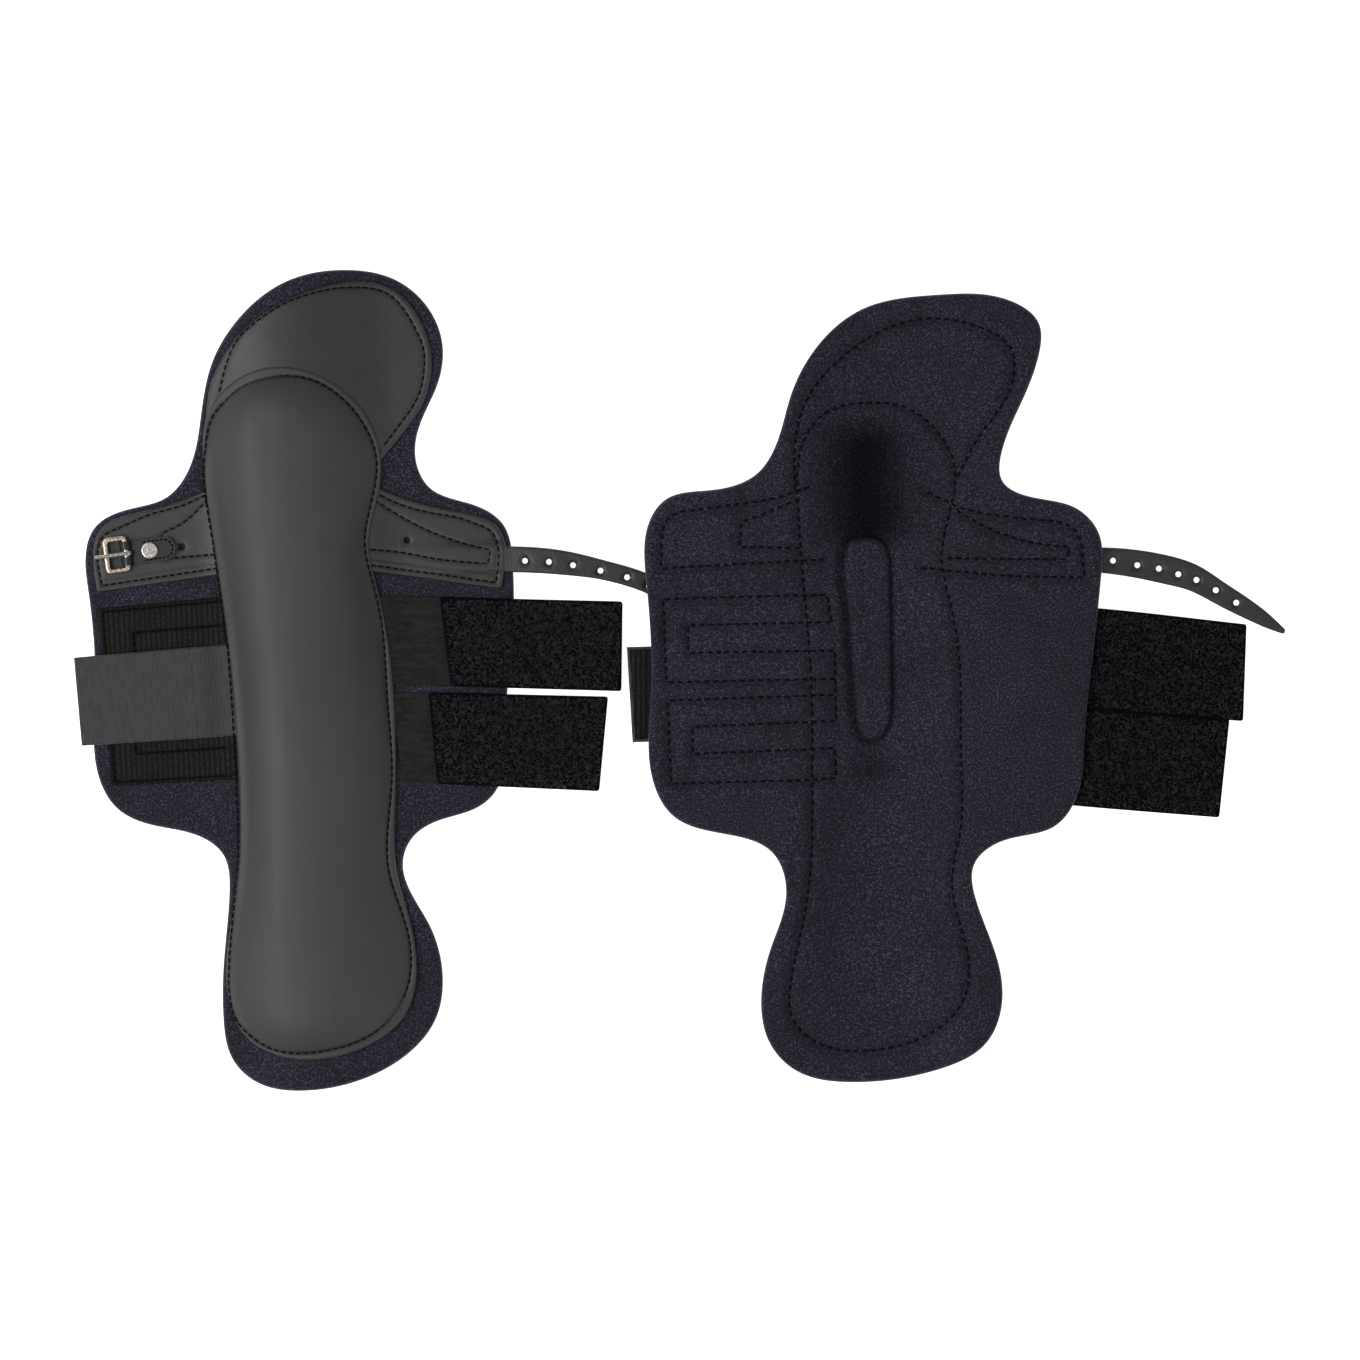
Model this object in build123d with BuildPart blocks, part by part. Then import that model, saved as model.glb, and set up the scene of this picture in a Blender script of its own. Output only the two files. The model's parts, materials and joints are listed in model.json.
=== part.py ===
"""Pair of open-front tendon boots for a horse, lying flat: left boot outer face up, right boot lining up.

Millimetres. +X along the row of the two boots, +Y towards the top of the boots, +Z up, floor at z = 0.
Every boot is drawn in its own frame: y along the leg, x across it, z from the lining towards the
outer face. The right boot is the mirrored one of the pair and is turned over, so its strike pad
carries it and its wings hover at crown height.
"""
import os
from math import cos, hypot, radians, sin

from build123d import *

os.makedirs("parts", exist_ok=True)

# ---- layers -------------------------------------------------------------------------------------
LINER = 4.5            # neoprene with knit on both faces
PATCH = 1.6            # sewn-on shoulder and top patches
HOOK = 1.2             # hook fields sewn on the wing, and the hook layer under the over-band
WEB = 1.5              # elastic and over-band webbing
PILE = 1.5             # loop pile layer of the closing straps
BILLET = 2.5           # leather billet
CLEAR = 0.3            # running gap between pieces that move on each other
SEAM = 0.1             # film of glue under the pieces on the shin arch, and bite at a fold line

# ---- strike pad and shin arch -------------------------------------------------------------------
RISE = 8.5             # height of the lining above the floor along the middle of the leg
FLANGE = 1.8           # sewn rim of the strike pad
PAD = 7.0              # full height of the strike pad above the liner
RIM = 5.0              # rim width outside the raised body
PAD_ROUND = 2.4        # rounding of the raised body
SKIN = 4.0             # wall of the pad round its foam core
FOAM = 3.6             # foam core inside the pad
BAR = 3.6              # raised tendon bar on the lining
ARCH_END = 47.0        # the arch is flat from here out
SPAN = 80.0            # half width of the arch profile
CROWN = RISE + LINER + PAD

# ---- closing straps, over-band, buckle ----------------------------------------------------------
EYE_R = 1.3            # billet holes
WIRE = 1.1             # radius of the buckle wire
FRAME_L = 11.0         # buckle frame along the billet
FRAME_W = 16.0         # buckle frame across the billet
FRAME_R = 2.4          # corners of the frame
FRAME_HOLE_R = 0.8     # corners of its opening
WIRE_ROUND = 0.75
TONGUE_R = 0.9
TONGUE_L = 15.0
LOOP = 1.2             # metal of the tongue's eye round the bar
LOOP_PLAY = 0.25       # play of that eye on the bar
SLOT_PLAY = 0.7        # play of the tongue in the chape's slot, each side
SLOT_L = 8.5           # slot in the fold of the chape that the tongue comes out of
CHAPE_L = 15.5
CHAPE_W = 10.6
CHAPE = 1.2            # one layer of the folded chape leather
CHAPE_BACK = 1.0       # the chape's straight part ends this far behind the bar
RIVET_R = 3.7
RIVET_H = 1.3
RIVET_ROUND = 0.6
RIVET_BACK = 2.5       # rivet centre behind the middle of the chape
BAND_WEB_OUT = 5.0     # the free over-band starts this far outside the wing's inner edge
BAND_HOOKS_OUT = 6.0   # and its hooks this far

# ---- cutting volumes ----------------------------------------------------------------------------
REACH = 200.0          # past the whole boot
FOLD_REACH = 2.0       # past the ends of a fold line
BELOW = 5.0            # under the lowest layer
DEEP = 40.0            # through every layer
THROUGH = 10.0         # through the chape
INWARD = 150.0         # from a hinge back over the wing
LONG_EDGE = 60.0       # the pad's crest edges are longer than this
CREST = 0.5            # and lie this close to its full height

# ---- the two boots ------------------------------------------------------------------------------
# place: origin x, turn in the plane, turned over or not
# fold_*: where a wing leaves the shin part; hinge_*: where a strap leaves the wing
BOOTS = {
    "left": dict(
        x=-165.2, turn=2.9, over=False,
        liner=[(26.5, 179.5), (47, 175), (61.5, 162.5), (68, 144), (65, 127.5), (57, 111.5), (53.5, 96),
               (59, 82), (79, 73), (91, 63.5), (94, 47.5), (91.5, 8), (85.5, -35.5), (82.5, -51.5),
               (74, -59.5), (57, -64.5), (44, -71.5), (39, -82.5), (41.5, -95), (49.5, -111), (54, -133),
               (50, -152), (38, -166), (16, -177), (-10.5, -180.5), (-30, -176), (-40.5, -165),
               (-43.5, -148), (-42, -121.5), (-38, -91), (-40, -75), (-50, -66.5), (-70.5, -60.5),
               (-85.5, -52.5), (-92.5, -40), (-93, -4.5), (-93.5, 44), (-94, 59), (-89.5, 71.5),
               (-74.5, 79), (-57, 83.5), (-46, 96.5), (-40.5, 116), (-34, 141.5), (-21.5, 160),
               (0.5, 175.5)],
        pad=[(-1.5, 138), (-23.5, 133.5), (-36.5, 119.5), (-40, 98.5), (-39, 74), (-35.5, 39),
             (-32, -7.5), (-31.5, -51.5), (-34, -84.5), (-39, -111), (-40.5, -139.5), (-34.5, -155),
             (-18.5, -165), (-1, -167), (21, -161.5), (36.5, -150), (43, -128), (40.5, -106),
             (36, -84), (37, -59.5), (39, -24.5), (38, 13), (34, 39.5), (31.5, 58.5), (36.5, 79),
             (38.5, 97), (31.5, 118), (16, 132)],
        top=[(-38.5, 112), (-35, 131.5), (-27.5, 145.5), (-15.5, 158), (0, 167), (20.5, 173),
                (38, 173.5), (51, 167), (60, 153), (63, 137.5), (59.5, 122), (51.5, 109.5), (36, 92)],
        top_foot=[(36, 92), (20, 96), (-20, 108), (-38.5, 112)],
        buckle_patch=[(-34.5, 87.5), (-48, 82.5), (-59.5, 79), (-72.5, 77), (-81.5, 74.5), (-87.5, 70),
                      (-90, 63.5), (-90.5, 54.5), (-89.5, 43)],
        buckle_patch_foot=[(-89.5, 43), (-32, 48.5), (-34.5, 87.5)],
        billet_patch=[(34.5, 84), (38.5, 82), (48.5, 77.5), (64, 72.5), (79, 68.5), (87.5, 64),
                      (91, 56.5), (91, 48), (88.5, 35.5)],
        billet_patch_foot=[(88.5, 35.5), (30, 46.5), (34.5, 84)],
        fan=[(47.5, 73), (54.5, 67), (67.5, 60.5), (85, 56.5)],
        fan_foot=[(85, 46), (67.5, 49), (47.5, 53.5)],
        hook_upper=[(-89.5, 36), (-32.5, 38.5), (-32.5, 0.5), (-88, -2.5)],
        hook_lower=[(-88, -6), (-31.5, -4.5), (-32, -42), (-87.5, -42.5)],
        band=[(-101, 15), (-33.5, 17.5), (-32.5, -23), (-99.5, -24)],
        strap_upper=[(34.5, 35.5), (141.5, 27.5), (139, -12), (39, -4)],
        strap_lower=[(38.5, -7), (133, -14), (127, -55.5), (42, -47.5)],
        seam_upper=((62, 35), (60, -6)), seam_lower=((56, -7.5), (52, -48)),
        billet_top=[(86, 54.5), (102.5, 53.5), (117.5, 51), (133, 46.5), (152.5, 39.5), (168, 30),
                    (177, 20.5)],
        billet_low=[(175.5, 17), (160.5, 25), (150, 31.5), (132.5, 37.5), (115, 40.5), (102, 42),
                    (86, 43.5)],
        eyes=[(99.5, 47.5), (110, 46.5), (120.5, 44.5), (132.5, 41.5), (144, 38), (153.5, 33.5),
              (162, 28.5)],
        fold_buckle=((-45, 98.5), (-37.5, -86.5)), fold_strap=((53.5, 96), (39, -82.5)),
        hinge_upper=((95.6, 34), (92.4, -11)), hinge_lower=((92.6, -8), (89, -55)),
        hinge_billet=((95.7, 60), (95.7, 38)),
        buckle=(-75.5, 59.5), buckle_turn=5.0,
        bar=[(-9, 54), (-6.5, 60.5), (0, 62.5), (6.5, 60.5), (9, 54), (9.5, 30), (9.5, 10), (9.5, -9),
             (7, -20), (3, -26), (-3, -26), (-7, -20), (-9.5, -9), (-9.5, 10), (-9.5, 30)],
    ),
    "right": dict(
        x=88.6, turn=0.0, over=True,
        liner=[(26, 169.5), (57, 166.5), (69, 157), (69, 142.5), (61, 121), (53, 101), (53, 87.5),
               (65.5, 80.5), (85.5, 75.5), (95, 65.5), (96.5, 46), (93, 13), (89, -27), (85, -53),
               (76.5, -64), (52.5, -71), (40.5, -81.5), (41.5, -96.5), (50.5, -121.5), (53, -141),
               (46, -159.5), (26, -171), (-13.5, -177), (-38, -171.5), (-49.5, -159), (-53, -141),
               (-48.5, -117), (-42, -93), (-47.5, -76.5), (-73, -67), (-92, -59.5), (-100.5, -44.5),
               (-101.5, -9), (-103.5, 43.5), (-102, 70), (-95.5, 79), (-75, 83.5), (-54.5, 91),
               (-45.5, 106), (-40, 125), (-28.5, 146.5), (-9, 163)],
        pad=[(-4, 125), (-26, 120.5), (-38, 104.5), (-40, 81), (-37.5, 43.5), (-34, -0.5),
             (-33.5, -44.5), (-34, -79.5), (-37.5, -106.5), (-42.5, -130.5), (-42, -150),
             (-29, -163), (-5, -166), (20.5, -159.5), (37, -145), (41.5, -126), (36.5, -103.5),
             (34, -88.5), (37, -66.5), (38.5, -35.5), (37.5, 4), (33.5, 32.5), (29.5, 54), (34, 78),
             (35, 95), (25, 114), (11, 123)],
        top=[(-39.5, 104), (-35.5, 124.5), (-21, 143), (1, 157.5), (24, 162.5), (50, 156), (60.5, 145),
                (59, 126), (44, 103), (33, 85)],
        top_foot=[(33, 85), (10, 88), (-20, 98), (-39.5, 104)],
        buckle_patch=[(-34, 89.5), (-50, 82.5), (-79.5, 78), (-92, 75.5), (-98.5, 69), (-100, 46)],
        buckle_patch_foot=[(-100, 46), (-27, 50), (-34, 89.5)],
        billet_patch=[(27, 84), (38, 78), (61, 74), (80, 71.5), (89, 65), (92, 42)],
        billet_patch_foot=[(92, 42), (16.5, 46.5), (27, 84)],
        fan=[(47, 68.5), (55, 65), (65.5, 61.5), (84, 58.5)],
        fan_foot=[(84, 50.5), (65.5, 51.5), (47, 52)],
        hook_upper=[(-97, 37), (-22.5, 38.5), (-21, -0.5), (-96, -2.5)],
        hook_lower=[(-95, -7.5), (-21, -5.5), (-20, -43.5), (-93.5, -46.5)],
        band=[(-112, 14.5), (-35.5, 17), (-33, -24.5), (-109.5, -27.5)],
        strap_upper=[(30.5, 35.5), (96, 31.5), (160.5, 24.5), (159, -18), (93.5, -13), (34, -8.5)],
        strap_lower=[(34, -9), (93.5, -13.5), (153, -18.05), (148.5, -60.5), (87.5, -55.5), (35, -50)],
        seam_upper=((56, 36), (54, -12)), seam_lower=((52, -10), (49, -52)),
        billet_top=[(87, 59), (105, 58), (123, 55.5), (138, 51), (151.5, 42.5), (167.5, 31.5),
                    (178, 22)],
        billet_low=[(177, 20), (167.5, 23.5), (151.5, 31), (136, 39), (125, 42), (105, 46),
                    (87, 48.5)],
        eyes=[(101.8, 52.5), (112.5, 50.5), (122, 49), (130.5, 46.5), (138.5, 44), (147, 39.5),
              (156, 34)],
        fold_buckle=((-48, 97), (-42, -90.5)), fold_strap=((51.5, 93), (39.5, -86)),
        hinge_upper=((97.9, 34), (93.2, -18)), hinge_lower=((92.8, -14), (88.9, -58)),
        hinge_billet=((98.3, 64), (98.3, 40)),
        buckle=(-80.0, 61.5), buckle_turn=4.0,
        bar=[(-17, 54), (-14.5, 60.5), (-8, 62.5), (-2, 62), (2.5, 58), (4, 50), (4.5, 30), (4.8, 10),
             (5, -9), (3.5, -20), (-1, -26), (-7, -26.5), (-11, -20), (-12.5, -9), (-13.8, 10),
             (-15.2, 30)],
    ),
}

# shin arch: half of the bell the lining lies on, from the middle of the leg to the folds
ARCH = [(0, RISE), (16, RISE - 1.5), (31, 2.4), (39, 0.55), (ARCH_END, 0)]


def unit(a, b):
    """Unit vector from a to b."""
    length = hypot(b[0] - a[0], b[1] - a[1])
    return ((b[0] - a[0]) / length, (b[1] - a[1]) / length)


def strip(line, near, far, reach=REACH):
    """Corners of the strip between two distances from a line, on the side away from the leg."""
    (x1, y1), (x2, y2) = line
    ux, uy = unit((x2, y2), (x1, y1))
    out = 1 if x1 + x2 > 0 else -1
    nx, ny = (uy * out, -ux * out)
    top = (x1 + ux * reach, y1 + uy * reach)
    low = (x2 - ux * reach, y2 - uy * reach)
    return [(top[0] + nx * near, top[1] + ny * near), (top[0] + nx * far, top[1] + ny * far),
            (low[0] + nx * far, low[1] + ny * far), (low[0] + nx * near, low[1] + ny * near)]


def inset(points, amount):
    """The same closed outline, running anticlockwise, drawn a constant amount further in."""
    moved = []
    for i, (x, y) in enumerate(points):
        tx, ty = unit(points[i - 1], points[(i + 1) % len(points)])
        moved.append((x - ty * amount, y + tx * amount))
    return moved


def build_boot(side, d):
    """Draw and export every piece of one boot."""
    flip = -1 if d["over"] else 1
    c, s = cos(radians(d["turn"])), sin(radians(d["turn"]))
    if d["over"]:
        base = Plane(origin=(d["x"], 0, CROWN), x_dir=(-1, 0, 0), z_dir=(0, 0, -1))
    else:
        base = Plane(origin=(d["x"], 0, 0), x_dir=(c, s, 0), z_dir=(0, 0, 1))
    across = Plane(origin=base.origin, x_dir=base.x_dir, z_dir=-base.y_dir)

    def pts(points):
        return [(flip * x, y) for x, y in points]

    def loop(points, mode=Mode.ADD):
        with BuildLine() as outline:
            Spline(*pts(points), periodic=True)
        make_face(outline.edges(), mode=mode)

    def corners(points, mode=Mode.ADD):
        with BuildLine() as outline:
            Polyline(*pts(points), close=True)
        make_face(outline.edges(), mode=mode)

    def chain(curve, *rest, mode=Mode.ADD):
        with BuildLine() as outline:
            Spline(*pts(curve))
            for run in rest:
                Polyline(*pts(run))
        make_face(outline.edges(), mode=mode)

    def arched(low, high):
        """Keep only the part of the solid between two heights above the shin arch."""
        half = [(-x, z) for x, z in ARCH[:0:-1]] + ARCH
        with BuildSketch(across) as band:
            with BuildLine():
                Spline(*[(x, z + low) for x, z in half], tangents=[(1, 0), (1, 0)])
                Line((ARCH_END, low), (SPAN, low))
                Line((SPAN, low), (SPAN, high))
                Line((SPAN, high), (ARCH_END, high))
                Spline(*[(x, z + high) for x, z in half], tangents=[(1, 0), (1, 0)])
                Line((-ARCH_END, high), (-SPAN, high))
                Line((-SPAN, high), (-SPAN, low))
                Line((-SPAN, low), (-ARCH_END, low))
            make_face()
        extrude(band.sketch, amount=REACH, both=True, mode=Mode.INTERSECT)

    def ship(piece, name):
        piece.part.label = f"{side}_{name}"
        export_step(piece.part, f"parts/{side}_{name}.step")

    def at(z):
        return base.offset(z)

    wing_gap = LINER / 2 + CLEAR

    # ---- shin part ------------------------------------------------------------------------------
    with BuildPart() as liner_core:
        with BuildSketch(at(-BELOW)):
            loop(d["liner"])
            for fold in ("fold_buckle", "fold_strap"):
                corners(strip(d[fold], -SEAM, REACH, reach=FOLD_REACH), mode=Mode.SUBTRACT)
        extrude(amount=DEEP)
        arched(0, LINER)
    ship(liner_core, "liner_core")

    with BuildPart() as tendon_bar:
        with BuildSketch(at(-BELOW)):
            loop(d["bar"])
        extrude(amount=DEEP)
        arched(-BAR, -SEAM)
    ship(tendon_bar, "tendon_bar")

    with BuildPart() as top_patch:
        with BuildSketch(at(-BELOW)):
            chain(d["top"], d["top_foot"])
            loop(d["pad"], mode=Mode.SUBTRACT)
        extrude(amount=DEEP)
        arched(LINER + SEAM, LINER + PATCH)
    ship(top_patch, "top_patch")

    with BuildPart() as strike_foam:
        with BuildSketch(at(-BELOW)):
            loop(inset(d["pad"], RIM + SKIN))
        extrude(amount=DEEP)
        arched(LINER + SEAM, LINER + FOAM)
    ship(strike_foam, "strike_foam")

    with BuildPart() as strike_rim:
        with BuildSketch(at(-BELOW)):
            loop(d["pad"])
        extrude(amount=DEEP)
        arched(LINER + SEAM, LINER + FLANGE)
    with BuildPart() as strike_pad:
        with BuildSketch(at(-BELOW)):
            loop(inset(d["pad"], RIM))
        extrude(amount=DEEP)
        arched(LINER + SEAM, LINER + PAD)
        crest = [e for e in strike_pad.edges() if e.length > LONG_EDGE and min(
            base.to_local_coords(e.position_at(k)).Z for k in (0, 0.3, 0.6, 1)) > LINER + PAD - CREST]
        fillet(crest, radius=PAD_ROUND)
        add(strike_rim.part)
        add(strike_foam.part, mode=Mode.SUBTRACT)
    ship(strike_pad, "strike_pad")

    with BuildPart() as band_anchor:
        with BuildSketch(at(-BELOW)):
            corners(d["band"])
            corners(strip(d["fold_buckle"], -INWARD, -SEAM), mode=Mode.INTERSECT)
            loop(d["pad"], mode=Mode.SUBTRACT)
        extrude(amount=DEEP)
        arched(LINER + SEAM, LINER + WEB)
    ship(band_anchor, "band_anchor")

    # ---- buckle wing ----------------------------------------------------------------------------
    with BuildPart() as buckle_wing:
        with BuildSketch(at(0)):
            loop(d["liner"])
            corners(strip(d["fold_buckle"], wing_gap, REACH, reach=FOLD_REACH), mode=Mode.INTERSECT)
        extrude(amount=LINER)
    ship(buckle_wing, "buckle_wing")

    with BuildPart() as buckle_patch:
        with BuildSketch(at(LINER)):
            chain(d["buckle_patch"], d["buckle_patch_foot"])
            corners(strip(d["fold_buckle"], wing_gap, REACH), mode=Mode.INTERSECT)
        extrude(amount=PATCH)
    ship(buckle_patch, "buckle_patch")

    for row in ("upper", "lower"):
        with BuildPart() as hook_field:
            with BuildSketch(at(LINER)):
                corners(d[f"hook_{row}"])
                corners(strip(d["fold_buckle"], wing_gap, REACH), mode=Mode.INTERSECT)
            extrude(amount=HOOK)
        ship(hook_field, f"hook_{row}")

    # ---- over-band ------------------------------------------------------------------------------
    band_low = LINER + HOOK + CLEAR
    with BuildPart() as band_hooks:
        with BuildSketch(at(band_low)):
            corners(d["band"])
            corners(strip(d["fold_buckle"], wing_gap + BAND_HOOKS_OUT, REACH), mode=Mode.INTERSECT)
        extrude(amount=HOOK)
    ship(band_hooks, "band_hooks")

    with BuildPart() as band_web:
        with BuildSketch(at(band_low + HOOK)):
            corners(d["band"])
            corners(strip(d["fold_buckle"], wing_gap + BAND_WEB_OUT, REACH), mode=Mode.INTERSECT)
        extrude(amount=WEB)
    ship(band_web, "band_web")

    # ---- buckle: chape leather folded round the bar of the frame, rivet, frame, tongue ----------
    bx, by = flip * d["buckle"][0], d["buckle"][1]
    turn = flip * d["buckle_turn"]
    seat = base.offset(LINER + PATCH)
    bar_z = CHAPE + CLEAR + WIRE
    buckle_plane = Plane(
        origin=seat.from_local_coords((bx, by, 0)),
        x_dir=seat.from_local_coords(Vector(-flip, 0, 0).rotate(Axis.Z, turn)) - seat.origin,
        z_dir=seat.z_dir)
    profile = Plane(origin=buckle_plane.from_local_coords((0, 0, bar_z)), x_dir=buckle_plane.x_dir,
                    z_dir=buckle_plane.y_dir)

    with BuildPart() as buckle_chape:
        with BuildSketch(buckle_plane):
            with Locations((-CHAPE_L / 2 - CHAPE_BACK, 0)):
                Rectangle(CHAPE_L, CHAPE_W)
            with Locations((-CHAPE_L - CHAPE_BACK, 0)):
                Circle(CHAPE_W / 2)
        extrude(amount=2 * CHAPE)
        with BuildSketch(profile):
            Circle(WIRE + CLEAR + CHAPE)
        extrude(amount=CHAPE_W / 2, both=True)
        with BuildSketch(profile):
            Circle(WIRE + CLEAR)
        extrude(amount=CHAPE_W, both=True, mode=Mode.SUBTRACT)
        with BuildSketch(buckle_plane.offset(-CLEAR)):
            SlotOverall(SLOT_L, 2 * (TONGUE_R + SLOT_PLAY))
        extrude(amount=THROUGH, mode=Mode.SUBTRACT)
    ship(buckle_chape, "buckle_chape")

    with BuildPart() as chape_rivet:
        with BuildSketch(buckle_plane.offset(2 * CHAPE)):
            with Locations((-CHAPE_L / 2 - RIVET_BACK, 0)):
                Circle(RIVET_R)
        extrude(amount=RIVET_H)
        fillet(chape_rivet.edges().sort_by(Axis.Z)[-1 if not d["over"] else 0], radius=RIVET_ROUND)
    ship(chape_rivet, "chape_rivet")

    with BuildPart() as buckle_frame:
        with BuildSketch(buckle_plane.offset(bar_z - WIRE)):
            with Locations((FRAME_L / 2 - WIRE, 0)):
                RectangleRounded(FRAME_L, FRAME_W, FRAME_R)
                RectangleRounded(FRAME_L - 4 * WIRE, FRAME_W - 4 * WIRE, FRAME_HOLE_R, mode=Mode.SUBTRACT)
        extrude(amount=2 * WIRE)
        level = buckle_frame.edges().filter_by(lambda e: abs(e.tangent_at(0.5).Z) < 0.5)
        fillet(level, radius=WIRE_ROUND)
    ship(buckle_frame, "buckle_frame")

    with BuildPart() as buckle_tongue:
        with BuildSketch(profile):
            Circle(WIRE + LOOP_PLAY + LOOP)
        extrude(amount=TONGUE_R, both=True)
        lift = WIRE + LOOP_PLAY + TONGUE_R
        rod = Plane(origin=buckle_plane.from_local_coords((0, 0, bar_z + lift)), z_dir=buckle_plane.x_dir)
        with BuildSketch(rod):
            Circle(TONGUE_R)
        extrude(amount=TONGUE_L - TONGUE_R)
        with BuildSketch(profile):
            Circle(WIRE + LOOP_PLAY)
        extrude(amount=TONGUE_R + CLEAR, both=True, mode=Mode.SUBTRACT)
    ship(buckle_tongue, "buckle_tongue")

    # ---- strap wing -----------------------------------------------------------------------------
    with BuildPart() as strap_wing:
        with BuildSketch(at(0)):
            loop(d["liner"])
            corners(strip(d["fold_strap"], wing_gap, REACH, reach=FOLD_REACH), mode=Mode.INTERSECT)
        extrude(amount=LINER)
    ship(strap_wing, "strap_wing")

    with BuildPart() as billet_patch:
        with BuildSketch(at(LINER)):
            chain(d["billet_patch"], d["billet_patch_foot"])
            corners(strip(d["fold_strap"], wing_gap, REACH), mode=Mode.INTERSECT)
            corners(d["strap_upper"], mode=Mode.SUBTRACT)
        extrude(amount=PATCH)
    ship(billet_patch, "billet_patch")

    with BuildPart() as billet_anchor:
        with BuildSketch(at(LINER + PATCH)):
            chain(d["fan"], [d["fan"][-1], d["billet_top"][0], d["billet_top"][1], d["billet_low"][-2],
                             d["billet_low"][-1], d["fan_foot"][0]],
                  d["fan_foot"], [d["fan_foot"][-1], d["fan"][0]])
            corners(strip(d["hinge_billet"], -INWARD, -SEAM), mode=Mode.INTERSECT)
        extrude(amount=BILLET)
    ship(billet_anchor, "billet_anchor")

    for row in ("upper", "lower"):
        with BuildPart() as elastic:
            with BuildSketch(at(LINER)):
                corners(d[f"strap_{row}"])
                corners(strip(d["fold_strap"], wing_gap, REACH), mode=Mode.INTERSECT)
                corners(strip(d[f"hinge_{row}"], -INWARD, -SEAM), mode=Mode.INTERSECT)
            extrude(amount=WEB)
        ship(elastic, f"elastic_{row}")

        with BuildPart() as pile_root:
            with BuildSketch(at(LINER + WEB)):
                corners(d[f"strap_{row}"])
                corners(strip(d[f"seam_{row}"], 0, REACH), mode=Mode.INTERSECT)
                corners(strip(d[f"hinge_{row}"], -INWARD, -SEAM), mode=Mode.INTERSECT)
            extrude(amount=PILE)
        ship(pile_root, f"pile_{row}")

        with BuildPart() as tip_web:
            with BuildSketch(at(LINER)):
                corners(d[f"strap_{row}"])
                corners(strip(d[f"hinge_{row}"], (WEB + PILE) / 2 + CLEAR, REACH), mode=Mode.INTERSECT)
            extrude(amount=WEB)
        ship(tip_web, f"tip_web_{row}")

        with BuildPart() as tip_pile:
            with BuildSketch(at(LINER + WEB)):
                corners(d[f"strap_{row}"])
                corners(strip(d[f"hinge_{row}"], (WEB + PILE) / 2 + CLEAR, REACH), mode=Mode.INTERSECT)
            extrude(amount=PILE)
        ship(tip_pile, f"tip_pile_{row}")

    # ---- billet ---------------------------------------------------------------------------------
    with BuildPart() as billet:
        with BuildSketch(at(LINER + PATCH)):
            with BuildLine():
                Spline(*pts(d["billet_top"]))
                Line(pts(d["billet_top"])[-1], pts(d["billet_low"])[0])
                Spline(*pts(d["billet_low"]))
                Line(pts(d["billet_low"])[-1], pts(d["billet_top"])[0])
            make_face()
            corners(strip(d["hinge_billet"], BILLET / 2 + CLEAR, REACH), mode=Mode.INTERSECT)
            with Locations(*pts(d["eyes"])):
                Circle(EYE_R, mode=Mode.SUBTRACT)
        extrude(amount=BILLET)
    ship(billet, "billet")


for side, dims in BOOTS.items():
    build_boot(side, dims)
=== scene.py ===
"""Looks of a pair of open-front tendon boots, lying flat: left boot outer face up, right boot lining up.

Every boot is drawn in its own plan: x across the leg, y along it, and a layer height that counts from the
lining towards the outer face, all in millimetres. Boot.world() takes that plan into the frame.
"""

import json
import math
import random

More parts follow.
